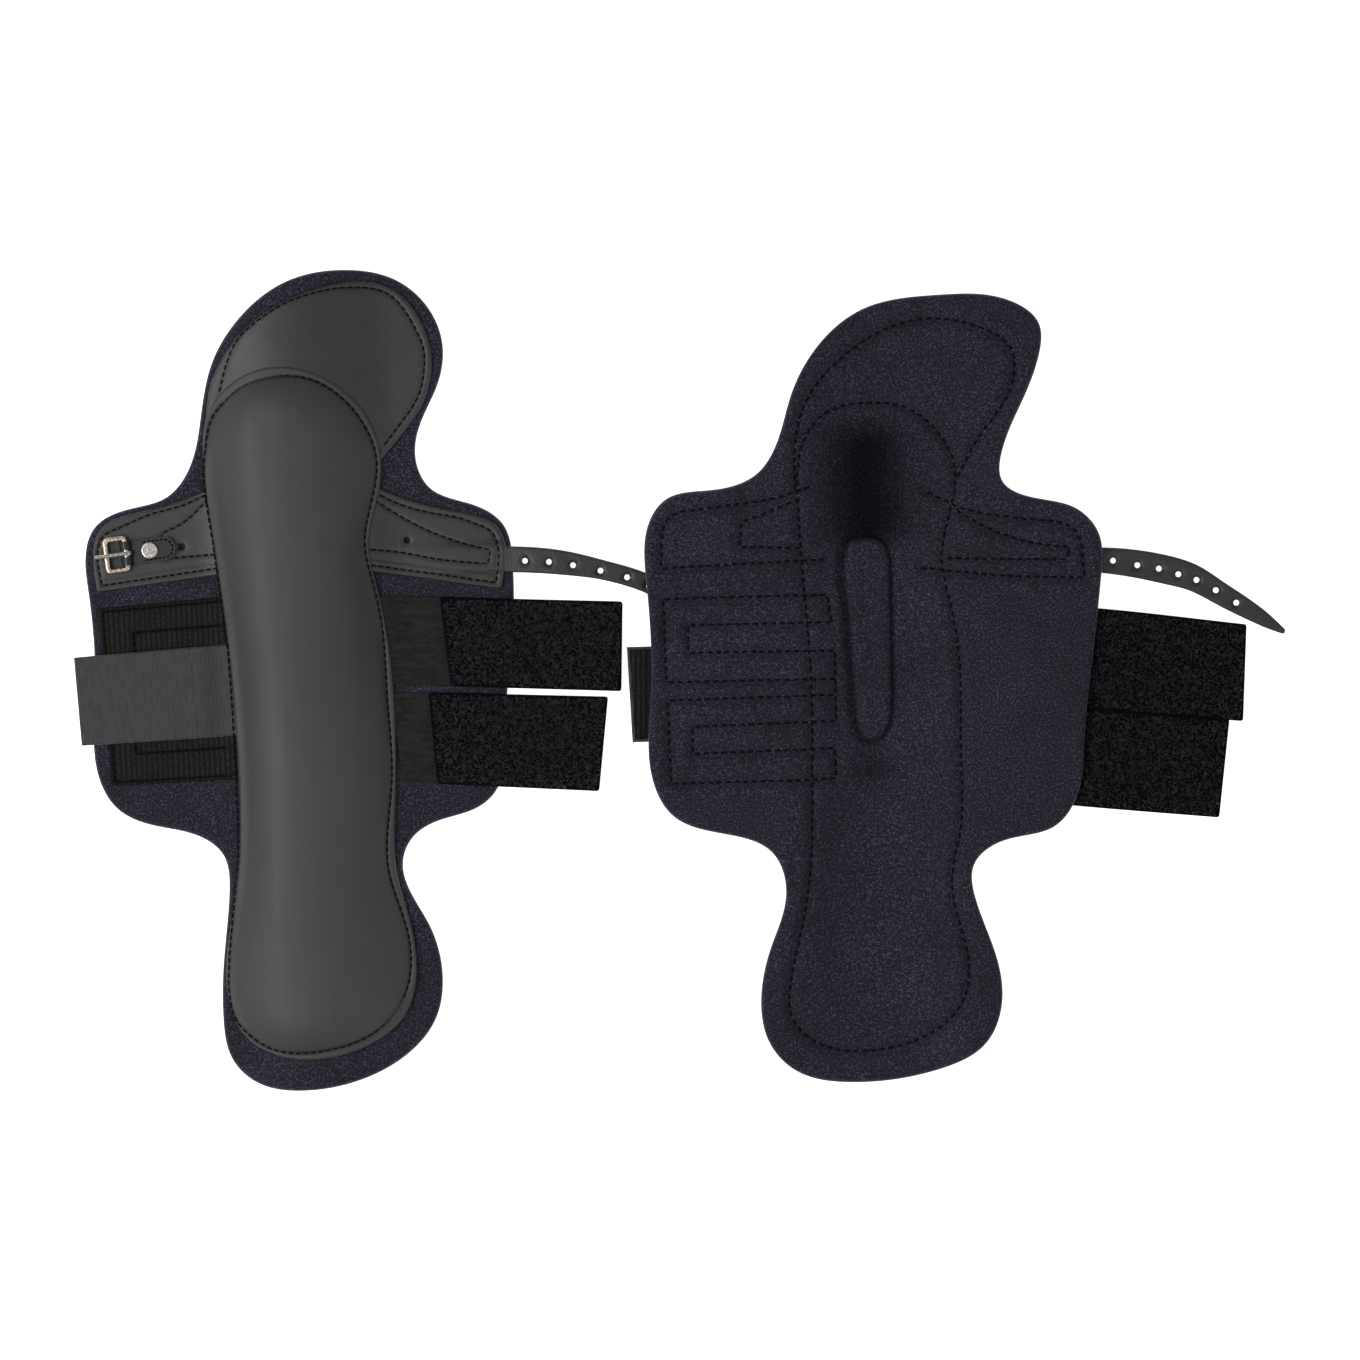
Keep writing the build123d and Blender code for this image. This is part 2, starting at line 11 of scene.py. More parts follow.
import bpy
import numpy as np
from mathutils import Vector, noise
from mathutils.geometry import delaunay_2d_cdt
from mathutils.kdtree import KDTree
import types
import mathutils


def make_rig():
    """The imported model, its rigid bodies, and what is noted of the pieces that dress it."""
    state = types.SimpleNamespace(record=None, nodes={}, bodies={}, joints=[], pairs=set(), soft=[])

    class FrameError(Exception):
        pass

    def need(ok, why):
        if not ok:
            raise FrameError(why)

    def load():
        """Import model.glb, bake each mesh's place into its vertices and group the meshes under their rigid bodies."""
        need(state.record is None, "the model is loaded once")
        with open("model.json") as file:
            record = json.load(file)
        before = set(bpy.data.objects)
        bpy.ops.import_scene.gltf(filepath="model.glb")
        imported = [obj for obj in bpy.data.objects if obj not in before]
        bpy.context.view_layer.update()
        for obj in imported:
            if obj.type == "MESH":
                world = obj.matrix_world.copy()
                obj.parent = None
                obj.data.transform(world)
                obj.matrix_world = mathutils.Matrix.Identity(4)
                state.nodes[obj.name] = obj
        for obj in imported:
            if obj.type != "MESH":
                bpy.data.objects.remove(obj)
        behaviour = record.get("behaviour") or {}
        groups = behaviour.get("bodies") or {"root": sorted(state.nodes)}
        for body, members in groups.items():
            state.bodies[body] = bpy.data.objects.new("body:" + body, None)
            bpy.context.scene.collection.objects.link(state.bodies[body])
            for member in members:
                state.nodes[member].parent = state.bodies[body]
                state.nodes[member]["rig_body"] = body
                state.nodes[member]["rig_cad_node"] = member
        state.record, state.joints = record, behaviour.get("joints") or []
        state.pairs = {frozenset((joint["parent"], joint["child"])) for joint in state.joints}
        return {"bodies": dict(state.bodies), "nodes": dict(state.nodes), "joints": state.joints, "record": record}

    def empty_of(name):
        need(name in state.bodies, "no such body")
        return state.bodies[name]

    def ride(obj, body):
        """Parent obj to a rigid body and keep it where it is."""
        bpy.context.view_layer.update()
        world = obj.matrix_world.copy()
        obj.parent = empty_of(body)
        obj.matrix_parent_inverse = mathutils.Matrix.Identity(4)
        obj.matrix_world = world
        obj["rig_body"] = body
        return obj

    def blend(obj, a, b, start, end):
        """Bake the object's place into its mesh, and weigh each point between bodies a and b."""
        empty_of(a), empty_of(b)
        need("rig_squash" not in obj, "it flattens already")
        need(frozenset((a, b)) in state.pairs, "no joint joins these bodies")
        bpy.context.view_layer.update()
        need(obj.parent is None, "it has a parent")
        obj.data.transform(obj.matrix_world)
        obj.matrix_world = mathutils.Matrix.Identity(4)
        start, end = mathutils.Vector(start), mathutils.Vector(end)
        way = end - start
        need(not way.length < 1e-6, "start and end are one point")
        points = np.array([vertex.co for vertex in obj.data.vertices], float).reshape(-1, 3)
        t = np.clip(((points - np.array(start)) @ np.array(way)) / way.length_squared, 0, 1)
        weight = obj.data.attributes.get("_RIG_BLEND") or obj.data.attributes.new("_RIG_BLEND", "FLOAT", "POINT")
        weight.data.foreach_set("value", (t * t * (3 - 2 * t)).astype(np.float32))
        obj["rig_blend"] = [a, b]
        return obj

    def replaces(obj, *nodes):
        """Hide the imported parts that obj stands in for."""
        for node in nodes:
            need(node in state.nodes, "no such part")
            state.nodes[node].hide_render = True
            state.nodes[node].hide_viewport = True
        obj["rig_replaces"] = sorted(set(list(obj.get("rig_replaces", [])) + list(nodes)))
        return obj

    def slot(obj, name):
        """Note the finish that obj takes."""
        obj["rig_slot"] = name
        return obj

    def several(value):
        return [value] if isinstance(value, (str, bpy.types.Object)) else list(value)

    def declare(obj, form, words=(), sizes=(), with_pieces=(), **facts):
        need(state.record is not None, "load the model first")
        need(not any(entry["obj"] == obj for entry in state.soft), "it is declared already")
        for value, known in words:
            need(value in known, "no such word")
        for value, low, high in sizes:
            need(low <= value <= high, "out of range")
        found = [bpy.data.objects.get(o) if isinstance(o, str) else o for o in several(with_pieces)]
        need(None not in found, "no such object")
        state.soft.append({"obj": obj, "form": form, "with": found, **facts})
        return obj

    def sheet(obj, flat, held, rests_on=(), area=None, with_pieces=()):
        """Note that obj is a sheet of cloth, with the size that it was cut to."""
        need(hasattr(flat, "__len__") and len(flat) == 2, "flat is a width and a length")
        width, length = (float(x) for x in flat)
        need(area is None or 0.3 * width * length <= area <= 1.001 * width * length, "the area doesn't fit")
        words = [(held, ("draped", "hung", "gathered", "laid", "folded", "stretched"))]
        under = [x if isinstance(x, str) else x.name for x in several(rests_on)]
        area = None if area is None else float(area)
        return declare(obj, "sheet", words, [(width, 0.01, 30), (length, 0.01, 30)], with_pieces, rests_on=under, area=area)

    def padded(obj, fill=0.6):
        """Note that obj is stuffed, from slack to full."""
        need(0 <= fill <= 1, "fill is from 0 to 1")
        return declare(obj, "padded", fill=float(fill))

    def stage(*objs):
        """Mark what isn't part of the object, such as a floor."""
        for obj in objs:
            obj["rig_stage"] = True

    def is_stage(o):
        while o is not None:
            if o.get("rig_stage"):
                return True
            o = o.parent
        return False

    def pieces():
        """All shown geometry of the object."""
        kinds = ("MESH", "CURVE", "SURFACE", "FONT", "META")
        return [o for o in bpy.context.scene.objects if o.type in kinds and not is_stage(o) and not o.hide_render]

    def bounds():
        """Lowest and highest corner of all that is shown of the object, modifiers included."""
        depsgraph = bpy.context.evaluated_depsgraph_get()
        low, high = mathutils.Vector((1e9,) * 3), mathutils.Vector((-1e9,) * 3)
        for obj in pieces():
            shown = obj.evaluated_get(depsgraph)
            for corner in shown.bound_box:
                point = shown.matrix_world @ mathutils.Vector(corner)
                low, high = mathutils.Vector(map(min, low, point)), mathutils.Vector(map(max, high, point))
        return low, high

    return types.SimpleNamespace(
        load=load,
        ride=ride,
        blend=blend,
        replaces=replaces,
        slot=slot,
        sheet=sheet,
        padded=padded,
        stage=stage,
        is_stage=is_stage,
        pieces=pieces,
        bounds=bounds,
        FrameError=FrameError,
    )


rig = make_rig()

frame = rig.load()
cad_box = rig.bounds()

# ---- layers, as in the CAD part, in millimetres ---------------------------------------------------
LINER, PATCH, HOOK, WEB = 4.5, 1.6, 1.2, 1.5
STRAP = 3.0                      # closing strap with its pile
PAD = 7.0                        # strike pad above the liner
GLUE = 0.02                      # film under whatever lies on the liner
FLANGE = 2.3                     # sewn rim of the strike pad
RISE = 8.5                       # arch of the shin part
CROWN = RISE + LINER + PAD       # the turned boot hangs its layers down from here
BAND_LOW = LINER + HOOK + 0.3    # underside of the over-band
ARCH = ((0, RISE), (16, RISE - 1.5), (31, 2.4), (39, 0.55), (47, 0))
MM = 0.001

# ---- stitching ------------------------------------------------------------------------------------
STITCH, LINING_STITCH = 3.3, 3.9  # pitch of the stitches on the outer face and on the lining
CHAPE_STITCH = 1.9               # pitch of the stitches on the chape
THREAD = 0.4                     # thread radius
PITCH = 2.1                      # mesh pitch of the soft sheets
WING_TOP, WING_LOW = 100, -92    # the wings lie between these heights on the leg
BEND_END = 8.0                   # a wing's bend ends this far outside its fold

# ---- relief and small details ---------------------------------------------------------------------
QUILT, QUILT_REACH = 1.6, 1.9    # depth and half width of the lining's quilting grooves
PILLOW, PILLOW_REACH = 0.7, 2.2  # height and half width of the lining's swelling beside a groove,
PILLOW_AT = 4.2                  # this far from the groove's middle
HOLLOW, FOOT = 2.2, 1.2          # depth of the hollow above the tendon bar and of the dip below it
BAR_HEIGHT, BAR_SHOULDER = 3.3, 6.5  # the tendon bar, and the width over which it rises
PAD_RIM, PAD_SHOULDER = 3.4, 20  # the strike pad's sewn rim, and the width over which the pad rises
EYE_R, PATCH_HOLE_R = 1.25, 0.8  # holes of the billet and of the patches
HOOK_RIB = 2.3                   # pitch of the hook tape's ribs
CHAPE_ARC, CHAPE_TOP = 4.0, 2.25  # radius of the chape's stitch arc, and its height above the patch
FIBRES, FIBRES_UNDER = 5200, 1500  # loops on a strap's upward face and on its hidden one
PEEL = dict(before=-2.1, after=14, lobes=False)   # where the over-band bends about its fold
FOLD = dict(before=1.5, after=9, lobes=False)     # and the closing straps about theirs

# ---- studio, in metres ----------------------------------------------------------------------------
FLOOR, FLOOR_HALF = -0.0002, 6
CAMERA_HEIGHT, SENSOR = 5.0, 36  # the sensor is in millimetres
VIEW_WIDTH, VIEW_LEVEL = 0.5984, 0.01  # width of the picture, and the height at which it is measured

# ---- plans: seams, patches and straps of each boot ------------------------------------------------
PLANS = {
    "left": dict(
        x=-165.2, turn=2.9, over=False,
        liner=[(26.5, 179.5), (47, 175), (61.5, 162.5), (68, 144), (65, 127.5), (57, 111.5),
               (53.5, 96), (59, 82), (79, 73), (91, 63.5), (94, 47.5), (91.5, 8), (85.5, -35.5),
               (82.5, -51.5), (74, -59.5), (57, -64.5), (44, -71.5), (39, -82.5), (41.5, -95),
               (49.5, -111), (54, -133), (50, -152), (38, -166), (16, -177), (-10.5, -180.5),
               (-30, -176), (-40.5, -165), (-43.5, -148), (-42, -121.5), (-38, -91), (-40, -75),
               (-50, -66.5), (-70.5, -60.5), (-85.5, -52.5), (-92.5, -40), (-93, -4.5), (-93.5, 44),
               (-94, 59), (-89.5, 71.5), (-74.5, 79), (-57, 83.5), (-46, 96.5), (-40.5, 116),
               (-34, 141.5), (-21.5, 160), (0.5, 175.5)],
        pad=[(-1.5, 138), (-23.5, 133.5), (-36.5, 119.5), (-40, 98.5), (-39, 74), (-35.5, 39),
             (-32, -7.5), (-31.5, -51.5), (-34, -84.5), (-39, -111), (-40.5, -139.5), (-34.5, -155),
             (-18.5, -165), (-1, -167), (21, -161.5), (36.5, -150), (43, -128), (40.5, -106),
             (36, -84), (37, -59.5), (39, -24.5), (38, 13), (34, 39.5), (31.5, 58.5), (36.5, 79),
             (38.5, 97), (31.5, 118), (16, 132)],
        top_edge=[(-38.5, 112), (-35, 131.5), (-27.5, 145.5), (-15.5, 158), (0, 167), (20.5, 173),
                  (38, 173.5), (51, 167), (60, 153), (63, 137.5), (59.5, 122), (51.5, 109.5), (36, 92)],
        top_foot=[(36, 92), (20, 96), (-20, 108), (-38.5, 112)],
        bar=[(-9, 54), (-6.5, 60.5), (0, 62.5), (6.5, 60.5), (9, 54), (9.5, 30), (9.5, 10), (9.5, -9),
             (7, -20), (3, -26), (-3, -26), (-7, -20), (-9.5, -9), (-9.5, 10), (-9.5, 30)],
        pad_seam=[(-2, 134), (-12, 133), (-22, 129.5), (-28.5, 124.5), (-34.5, 118), (-38, 107),
                  (-40, 94), (-39.5, 81), (-37.5, 63), (-36, 47.5), (-33.5, 19), (-32.5, -16.5),
                  (-32.5, -51.5), (-33.5, -78), (-36, -95.5), (-39.5, -122), (-40, -139.5),
                  (-37.5, -148.5), (-32, -155), (-23.5, -161), (-14.5, -163.5), (3, -163),
                  (16.5, -159.5), (27.5, -153), (35, -144), (38.5, -137), (40.5, -126), (40, -115),
                  (36, -99), (32.5, -83.5), (32.5, -75), (36, -46.5), (36.5, -28.5), (36, -11),
                  (35, 24), (32, 42), (29.5, 59.5), (31, 68.5), (36, 88), (36.5, 94.5), (32, 110.5),
                  (26, 119.5), (20, 125.5), (11.5, 131)],
        top_seam=[(-37, 106), (-35, 113.5), (-31, 129), (-26.5, 143), (-21.5, 151.5), (-14.5, 157.5),
                  (-1, 165.5), (11.5, 169.5), (24.5, 171.5), (39, 170.5), (46.5, 167), (52, 160.5),
                  (56.5, 152), (59.5, 143.5), (59.5, 135), (57.5, 125.5), (54, 118.5), (48.5, 111.5),
                  (38, 99)],
        buckle_patch=[(-34.5, 87.5), (-48, 82.5), (-59.5, 79), (-72.5, 77), (-81.5, 74.5),
                      (-87.5, 70), (-90, 63.5), (-90.5, 54.5), (-89.5, 43)],
        buckle_foot=[(-89.5, 43), (-30, 48.5), (-30, 89)],
        buckle_seams=[[(-36, 85), (-50, 79.5), (-63.5, 76.5), (-77, 71.5), (-85, 68), (-88, 62),
                       (-88.3, 56), (-87, 46)], [(-87, 46), (-35, 51.2)],
                      [(-38, 82), (-49, 72.5), (-59.5, 67.5)], [(-59.5, 67.5), (-58.5, 56.5)],
                      [(-58.5, 56.5), (-36, 57.3)]],
        buckle_crease=[(-86, 48.5), (-35, 53.6)], buckle_hole=(-51.5, 61.5),
        billet_patch=[(34.5, 84), (38.5, 82), (48.5, 77.5), (64, 72.5), (79, 68.5), (87.5, 64),
                      (91, 56.5), (91, 48), (88.5, 35.5)],
        billet_foot=[(88.5, 35.5), (28, 46.9), (28, 87)],
        billet_seams=[[(34, 81.5), (45, 75.5), (58, 71), (71, 68), (79.5, 64.5), (85, 61.5),
                       (87.5, 56.5), (88, 49.5), (86.3, 38.6)], [(86.3, 38.6), (31, 49.2)],
                      [(34, 78), (45.5, 70), (58.5, 62.5), (71.5, 57), (84.5, 53)],
                      [(84.5, 53), (83, 47)], [(83, 47), (62, 50), (45, 54), (31.5, 56)]],
        billet_crease=[(86, 41.4), (32, 51.8)], billet_hole=(48, 59),
        hook_upper=[(-89.5, 36), (-31, 38.5), (-31, 0.5), (-88, -2.5)],
        hook_lower=[(-88, -6), (-30.5, -4.5), (-30.5, -42), (-87.5, -42.5)],
        comb=[[(-87.5, 34.3), (-33, 36.6)], [(-87.5, 34.3), (-86.3, -1)], [(-86.3, -1), (-33, 1.8)],
              [(-74.5, 24.6), (-34, 26)], [(-74.5, 24.6), (-74, 11)], [(-74, 11), (-34, 13)],
              [(-86.5, -7.8), (-32, -6.2)], [(-86.5, -7.8), (-86, -40.8)], [(-86, -40.8), (-33, -40.4)],
              [(-76, -17.5), (-33, -17)], [(-76, -17.5), (-75.8, -28.8)], [(-75.8, -28.8), (-33, -28)]],
        band=[(-101, 15), (-31, 17.5), (-30, -23), (-99.5, -24)],
        strap_upper=([(33, 35.6), (141.5, 27.5)], [(38, -4), (139, -12)]),
        strap_lower=([(37, -6.9), (133, -14)], [(41, -47.2), (127, -55.5)]),
        loop_from=(0.26, 0.18),
        billet_top=[(80, 55), (102.5, 53.5), (117.5, 51), (133, 46.5), (152.5, 39.5), (168, 30),
                    (177, 20.5)],
        billet_low=[(80, 43.8), (102, 42), (115, 40.5), (132.5, 37.5), (150, 31.5), (160.5, 25),
                    (175.5, 17)],
        eyes=[(99.5, 47.5), (110, 46.5), (120.5, 44.5), (132.5, 41.5), (144, 38), (153.5, 33.5),
              (162, 28.5)],
        channel=(0, 0, 0), chape_end=(-59.06, 60.94, 5),
    ),
    "right": dict(
        x=88.6, turn=0.0, over=True,
        liner=[(26, 169.5), (57, 166.5), (69, 157), (69, 142.5), (61, 121), (53, 101), (53, 87.5),
               (65.5, 80.5), (85.5, 75.5), (95, 65.5), (96.5, 46), (93, 13), (89, -27), (85, -53),
               (76.5, -64), (52.5, -71), (40.5, -81.5), (41.5, -96.5), (50.5, -121.5), (53, -141),
               (46, -159.5), (26, -171), (-13.5, -177), (-38, -171.5), (-49.5, -159), (-53, -141),
               (-48.5, -117), (-42, -93), (-47.5, -76.5), (-73, -67), (-92, -59.5), (-100.5, -44.5),
               (-101.5, -9), (-103.5, 43.5), (-102, 70), (-95.5, 79), (-75, 83.5), (-54.5, 91),
               (-45.5, 106), (-40, 125), (-28.5, 146.5), (-9, 163)],
        pad=[(-4, 125), (-26, 120.5), (-38, 104.5), (-40, 81), (-37.5, 43.5), (-34, -0.5),
             (-33.5, -44.5), (-34, -79.5), (-37.5, -106.5), (-42.5, -130.5), (-42, -150), (-29, -163),
             (-5, -166), (20.5, -159.5), (37, -145), (41.5, -126), (36.5, -103.5), (34, -88.5),
             (37, -66.5), (38.5, -35.5), (37.5, 4), (33.5, 32.5), (29.5, 54), (34, 78), (35, 95),
             (25, 114), (11, 123)],
        top_edge=[(-39.5, 104), (-35.5, 124.5), (-21, 143), (1, 157.5), (24, 162.5), (50, 156),
                  (60.5, 145), (59, 126), (44, 103), (33, 85)],
        top_foot=[(33, 85), (10, 88), (-20, 98), (-39.5, 104)],
        bar=[(-17, 54), (-14.5, 60.5), (-8, 62.5), (-2, 62), (2.5, 58), (4, 50), (4.5, 30), (4.8, 10),
             (5, -9), (3.5, -20), (-1, -26), (-7, -26.5), (-11, -20), (-12.5, -9), (-13.8, 10),
             (-15.2, 30)],
        pad_seam=[(-3.5, 122), (-24.5, 117.5), (-35, 103), (-37, 81), (-34.5, 43.5), (-31, -0.5),
                  (-30.5, -44.5), (-31, -79.5), (-34.5, -106), (-39.5, -130), (-39, -149),
                  (-27, -160), (-5, -163), (19.5, -156.5), (35, -142.5), (38.5, -126), (33.5, -104),
                  (31, -88.5), (34.5, -66.5), (35, -35.5), (34.5, 4), (30.5, 32.5), (26.5, 54),
                  (31, 78), (32, 94), (22.5, 111.5), (10.5, 120)],
        top_seam=[(-38, 83), (-38, 105), (-33, 123), (-19, 140.5), (2, 154.5), (24, 159), (48, 153),
                  (57.5, 144), (56, 126.5), (41.5, 105), (33, 88.5)],
        buckle_patch=[(-34, 89.5), (-50, 82.5), (-79.5, 78), (-92, 75.5), (-98.5, 69), (-100, 46)],
        buckle_foot=[(-100, 46), (-27, 50), (-30, 89)],
        buckle_seams=[[(-31, 85), (-49, 79.5), (-79.5, 75), (-90.5, 73), (-95.5, 68), (-97, 49)],
                      [(-97, 49), (-24.5, 53)], [(-35.5, 80), (-53, 72.5), (-61.5, 69.5)],
                      [(-61.5, 69.5), (-62.5, 58.5)], [(-62.5, 58.5), (-35.5, 58)]],
        buckle_crease=[(-95, 51.4), (-36, 55)], buckle_hole=(-52, 64),
        billet_patch=[(27, 84), (38, 78), (61, 74), (80, 71.5), (89, 65), (92, 42)],
        billet_foot=[(92, 42), (24, 46), (24, 86)],
        billet_seams=[[(19.5, 83), (37, 75), (61, 71), (79, 69), (86.5, 63.5), (89, 45)],
                      [(89, 45), (52.5, 46), (16.5, 49.5)],
                      [(32.5, 75), (46, 67), (65.5, 60.5), (82.5, 58.5)], [(82.5, 58.5), (81.5, 53)],
                      [(81.5, 53), (28, 53.5)]],
        billet_crease=[(86, 47.6), (36, 50)], billet_hole=(48, 60),
        hook_upper=[(-97, 37), (-22.5, 38.5), (-21, -0.5), (-96, -2.5)],
        hook_lower=[(-95, -7.5), (-21, -5.5), (-20, -43.5), (-93.5, -46.5)],
        comb=[[(-96, 35.5), (-62, 36.5), (-24, 37.5)], [(-24, 37.5), (-22, 24.5)],
              [(-96, 35.5), (-94.5, -1)], [(-94.5, -1), (-20, 0.5)],
              [(-85, 24), (-22, 25.5)], [(-85, 24), (-85, 12)], [(-85, 12), (-20.5, 13)],
              [(-20.5, 13), (-20, -18)], [(-94, -9), (-20.5, -6.5)], [(-94, -9), (-92.5, -45.5)],
              [(-92.5, -45.5), (-31, -44)], [(-83, -20.5), (-20, -18)], [(-83, -20.5), (-83, -32.5)],
              [(-83, -32.5), (-20.5, -30)], [(-20.5, -30), (-20, -43)], [(-20, -43), (-31, -44)]],
        band=[(-112, 14.5), (-33, 17), (-31, -24.5), (-109.5, -27.5)],
        strap_upper=([(30.5, 35.5), (96, 31.5), (160.5, 24.5)], [(34, -8.6), (93.5, -13.1), (159, -18.1)]),
        strap_lower=([(34, -8.2), (93.5, -12.7), (153, -17.2)], [(35, -50), (87.5, -55.5), (148.5, -60.5)]),
        loop_from=(0.2, 0.16),
        billet_top=[(80, 58.5), (105, 58), (123, 55.5), (138, 51), (151.5, 42.5), (167.5, 31.5),
                    (178, 22)],
        billet_low=[(80, 48.6), (105, 46), (125, 42), (136, 39), (151.5, 31), (167.5, 23.5),
                    (177, 20)],
        eyes=[(101.8, 52.5), (112.5, 50.5), (122, 49), (130.5, 46.5), (138.5, 44), (147, 39.5),
              (156, 34)],
        channel=(-6, 58, 118), chape_end=(-63.54, 62.65, 4),
    ),
}


# ---- plan geometry --------------------------------------------------------------------------------
def curve(points, step=1.2, closed=False):
    """Points about a step apart along a smooth curve through the given ones."""
    p = np.array(points, float)
    n = len(p)
    if n == 2:
        count = max(2, int(np.linalg.norm(p[1] - p[0]) / step) + 1)
        return p[0] + (p[1] - p[0]) * np.linspace(0, 1, count)[:, None]
    if closed:
        tangent = ring_tangents(p)
    else:
        ahead = p[np.minimum(np.arange(n) + 1, n - 1)]
        back = p[np.maximum(np.arange(n) - 1, 0)]
        tangent = ahead - back
        tangent /= np.linalg.norm(tangent, axis=1)[:, None]
    out = []
    for i in range(n if closed else n - 1):
        a, b = p[i], p[(i + 1) % n]
        length = np.linalg.norm(b - a)
        ta, tb = tangent[i] * length, tangent[(i + 1) % n] * length
        t = np.linspace(0, 1, max(2, int(length / step) + 1))[:-1, None]
        out.append((2 * t**3 - 3 * t**2 + 1) * a + (t**3 - 2 * t**2 + t) * ta
                   + (3 * t**2 - 2 * t**3) * b + (t**3 - t**2) * tb)
    if not closed:
        out.append(p[-1:])
    return np.concatenate(out)


def ring_tangents(p):
    """Tangents of the closed cubic spline through the points, per unit of chord."""
    n = len(p)
    chord = np.linalg.norm(np.roll(p, -1, 0) - p, axis=1)
    before = np.roll(chord, 1)
    rows = np.zeros((n, n))
    for i in range(n):
        rows[i, i - 1] += chord[i]
        rows[i, i] += 2 * (before[i] + chord[i])
        rows[i, (i + 1) % n] += before[i]
    slope = (np.roll(p, -1, 0) - p) / chord[:, None]
    return np.linalg.solve(rows, 3 * (chord[:, None] * np.roll(slope, 1, 0) + before[:, None] * slope))


def even(loop, step, smooth=0):
    """A closed loop with points a step apart, and its corners softened smooth times."""
    p = np.vstack([loop, loop[:1]])
    along = np.concatenate([[0], np.cumsum(np.linalg.norm(np.diff(p, axis=0), axis=1))])
    count = int(along[-1] / step)
    at = np.arange(count) * along[-1] / count
    p = np.stack([np.interp(at, along, p[:, 0]), np.interp(at, along, p[:, 1])], 1)
    for _ in range(smooth):
        p = (np.roll(p, 1, 0) + 2 * p + np.roll(p, -1, 0)) / 4
    return p


def distance(points, line, closed=False):
    """Distance from each point to a polyline."""
    a = line if closed else line[:-1]
    b = np.roll(line, -1, 0) if closed else line[1:]
    if len(a) > 40:
        tree = KDTree(len(a))
        for i, (x, y) in enumerate((a + b) / 2):
            tree.insert((x, y, 0), i)
        tree.balance()
        near = np.array([tree.find((x, y, 0))[1] for x, y in points], int)
        best = np.full(len(points), 1e9)
        for shift in (-2, -1, 0, 1, 2):
            k = (near + shift) % len(a) if closed else np.clip(near + shift, 0, len(a) - 1)
            best = np.minimum(best, to_segment(points, a[k], b[k]))
        return best
    return np.min([to_segment(points, p, q) for p, q in zip(a, b)], axis=0)


def to_segment(points, a, b):
    """Distance from each point to a segment, or to its own segment."""
    span = b - a
    size = np.maximum((span**2).sum(-1), 1e-12)
    t = np.clip(((points - a) * span).sum(-1) / size, 0, 1)
    return np.linalg.norm(points - (a + t[..., None] * span), axis=-1)


def inside(points, loop):
    """Which points lie inside a closed loop."""
    x, y = points[:, 0:1], points[:, 1:2]
    ax, ay = loop[:, 0], loop[:, 1]
    bx, by = np.roll(ax, -1), np.roll(ay, -1)
    crosses = (ay > y) != (by > y)
    at = ax + (y - ay) * (bx - ax) / np.where(by == ay, 1e-12, by - ay)
    return (crosses & (x < at)).sum(1) % 2 == 1


def beside(line, offsets, closed=False):
    """The points of a line moved sideways by each offset."""
    tangent = np.roll(line, -1, 0) - np.roll(line, 1, 0)
    if not closed:
        tangent[0], tangent[-1] = line[1] - line[0], line[-1] - line[-2]
    tangent /= np.maximum(np.linalg.norm(tangent, axis=1), 1e-9)[:, None]
    normal = np.stack([-tangent[:, 1], tangent[:, 0]], 1)
    return np.concatenate([line + normal * o for o in offsets])


def triangulate(loop, pitch, lines=(), rim=(0.3, 0.8, 1.5), holes=()):
    """Triangles over the inside of a loop, finer along its rim and along the given lines."""
    rings = [ring_at(*hole) for hole in holes]
    area = (loop[:, 0] * np.roll(loop[:, 1], -1) - np.roll(loop[:, 0], -1) * loop[:, 1]).sum() / 2
    inward = 1 if area > 0 else -1
    extra = [beside(loop, [inward * r], closed=True) for r in rim]
    extra += [beside(line, (0, 0.6, -0.6, 1.3, -1.3)) for line in lines]
    low, high = loop.min(0), loop.max(0)
    rows = np.arange(low[1], high[1], pitch * 0.866)
    for i, y in enumerate(rows):
        x = np.arange(low[0] + (i % 2) * pitch / 2, high[0], pitch)
        extra.append(np.stack([x, np.full(len(x), y)], 1))
    extra = np.concatenate(extra)
    cell = np.round(extra / 0.55).astype(int)
    _, first = np.unique(cell, axis=0, return_index=True)
    extra = extra[np.sort(first)]
    extra = extra[inside(extra, loop)]
    extra = extra[distance(extra, loop, True) > 0.22]
    for ring in rings:
        extra = extra[~inside(extra, ring)]
        extra = extra[distance(extra, ring, True) > 0.3]
    points, edges, first = [], [], 0
    for border in [loop, *rings]:
        n = len(border)
        edges += [(first + i, first + (i + 1) % n) for i in range(n)]
        points.append(border)
        first += n
    points = np.concatenate([*points, extra])
    found = delaunay_2d_cdt([Vector(p) for p in points], edges, [], 1, 1e-6)
    plan = np.array([tuple(v) for v in found[0]])
    faces = np.array([f if turns_left(plan, f) else f[::-1] for f in found[2]])
    for ring in rings:
        faces = faces[~inside(plan[faces].mean(1), ring)]
    return plan, faces


def ring_at(x, y, r):
    """A small circle."""
    turn = np.linspace(0, 2 * math.pi, 18, endpoint=False)
    return np.stack([x + r * np.cos(turn), y + r * np.sin(turn)], 1)


def open_edges(tris):
    """The edges round a set of triangles, in the triangles' own direction."""
    sides = {}
    for f in tris:
        for i in range(3):
            a, b = int(f[i]), int(f[(i + 1) % 3])
            if (b, a) in sides:
                del sides[b, a]
            else:
                sides[a, b] = True
    return list(sides)


def compact(faces):
    """The vertices in use, and the faces renumbered over them."""
    used = sorted({int(i) for f in faces for i in f})
    back = {old: new for new, old in enumerate(used)}
    return used, [tuple(back[int(i)] for i in f) for f in faces]


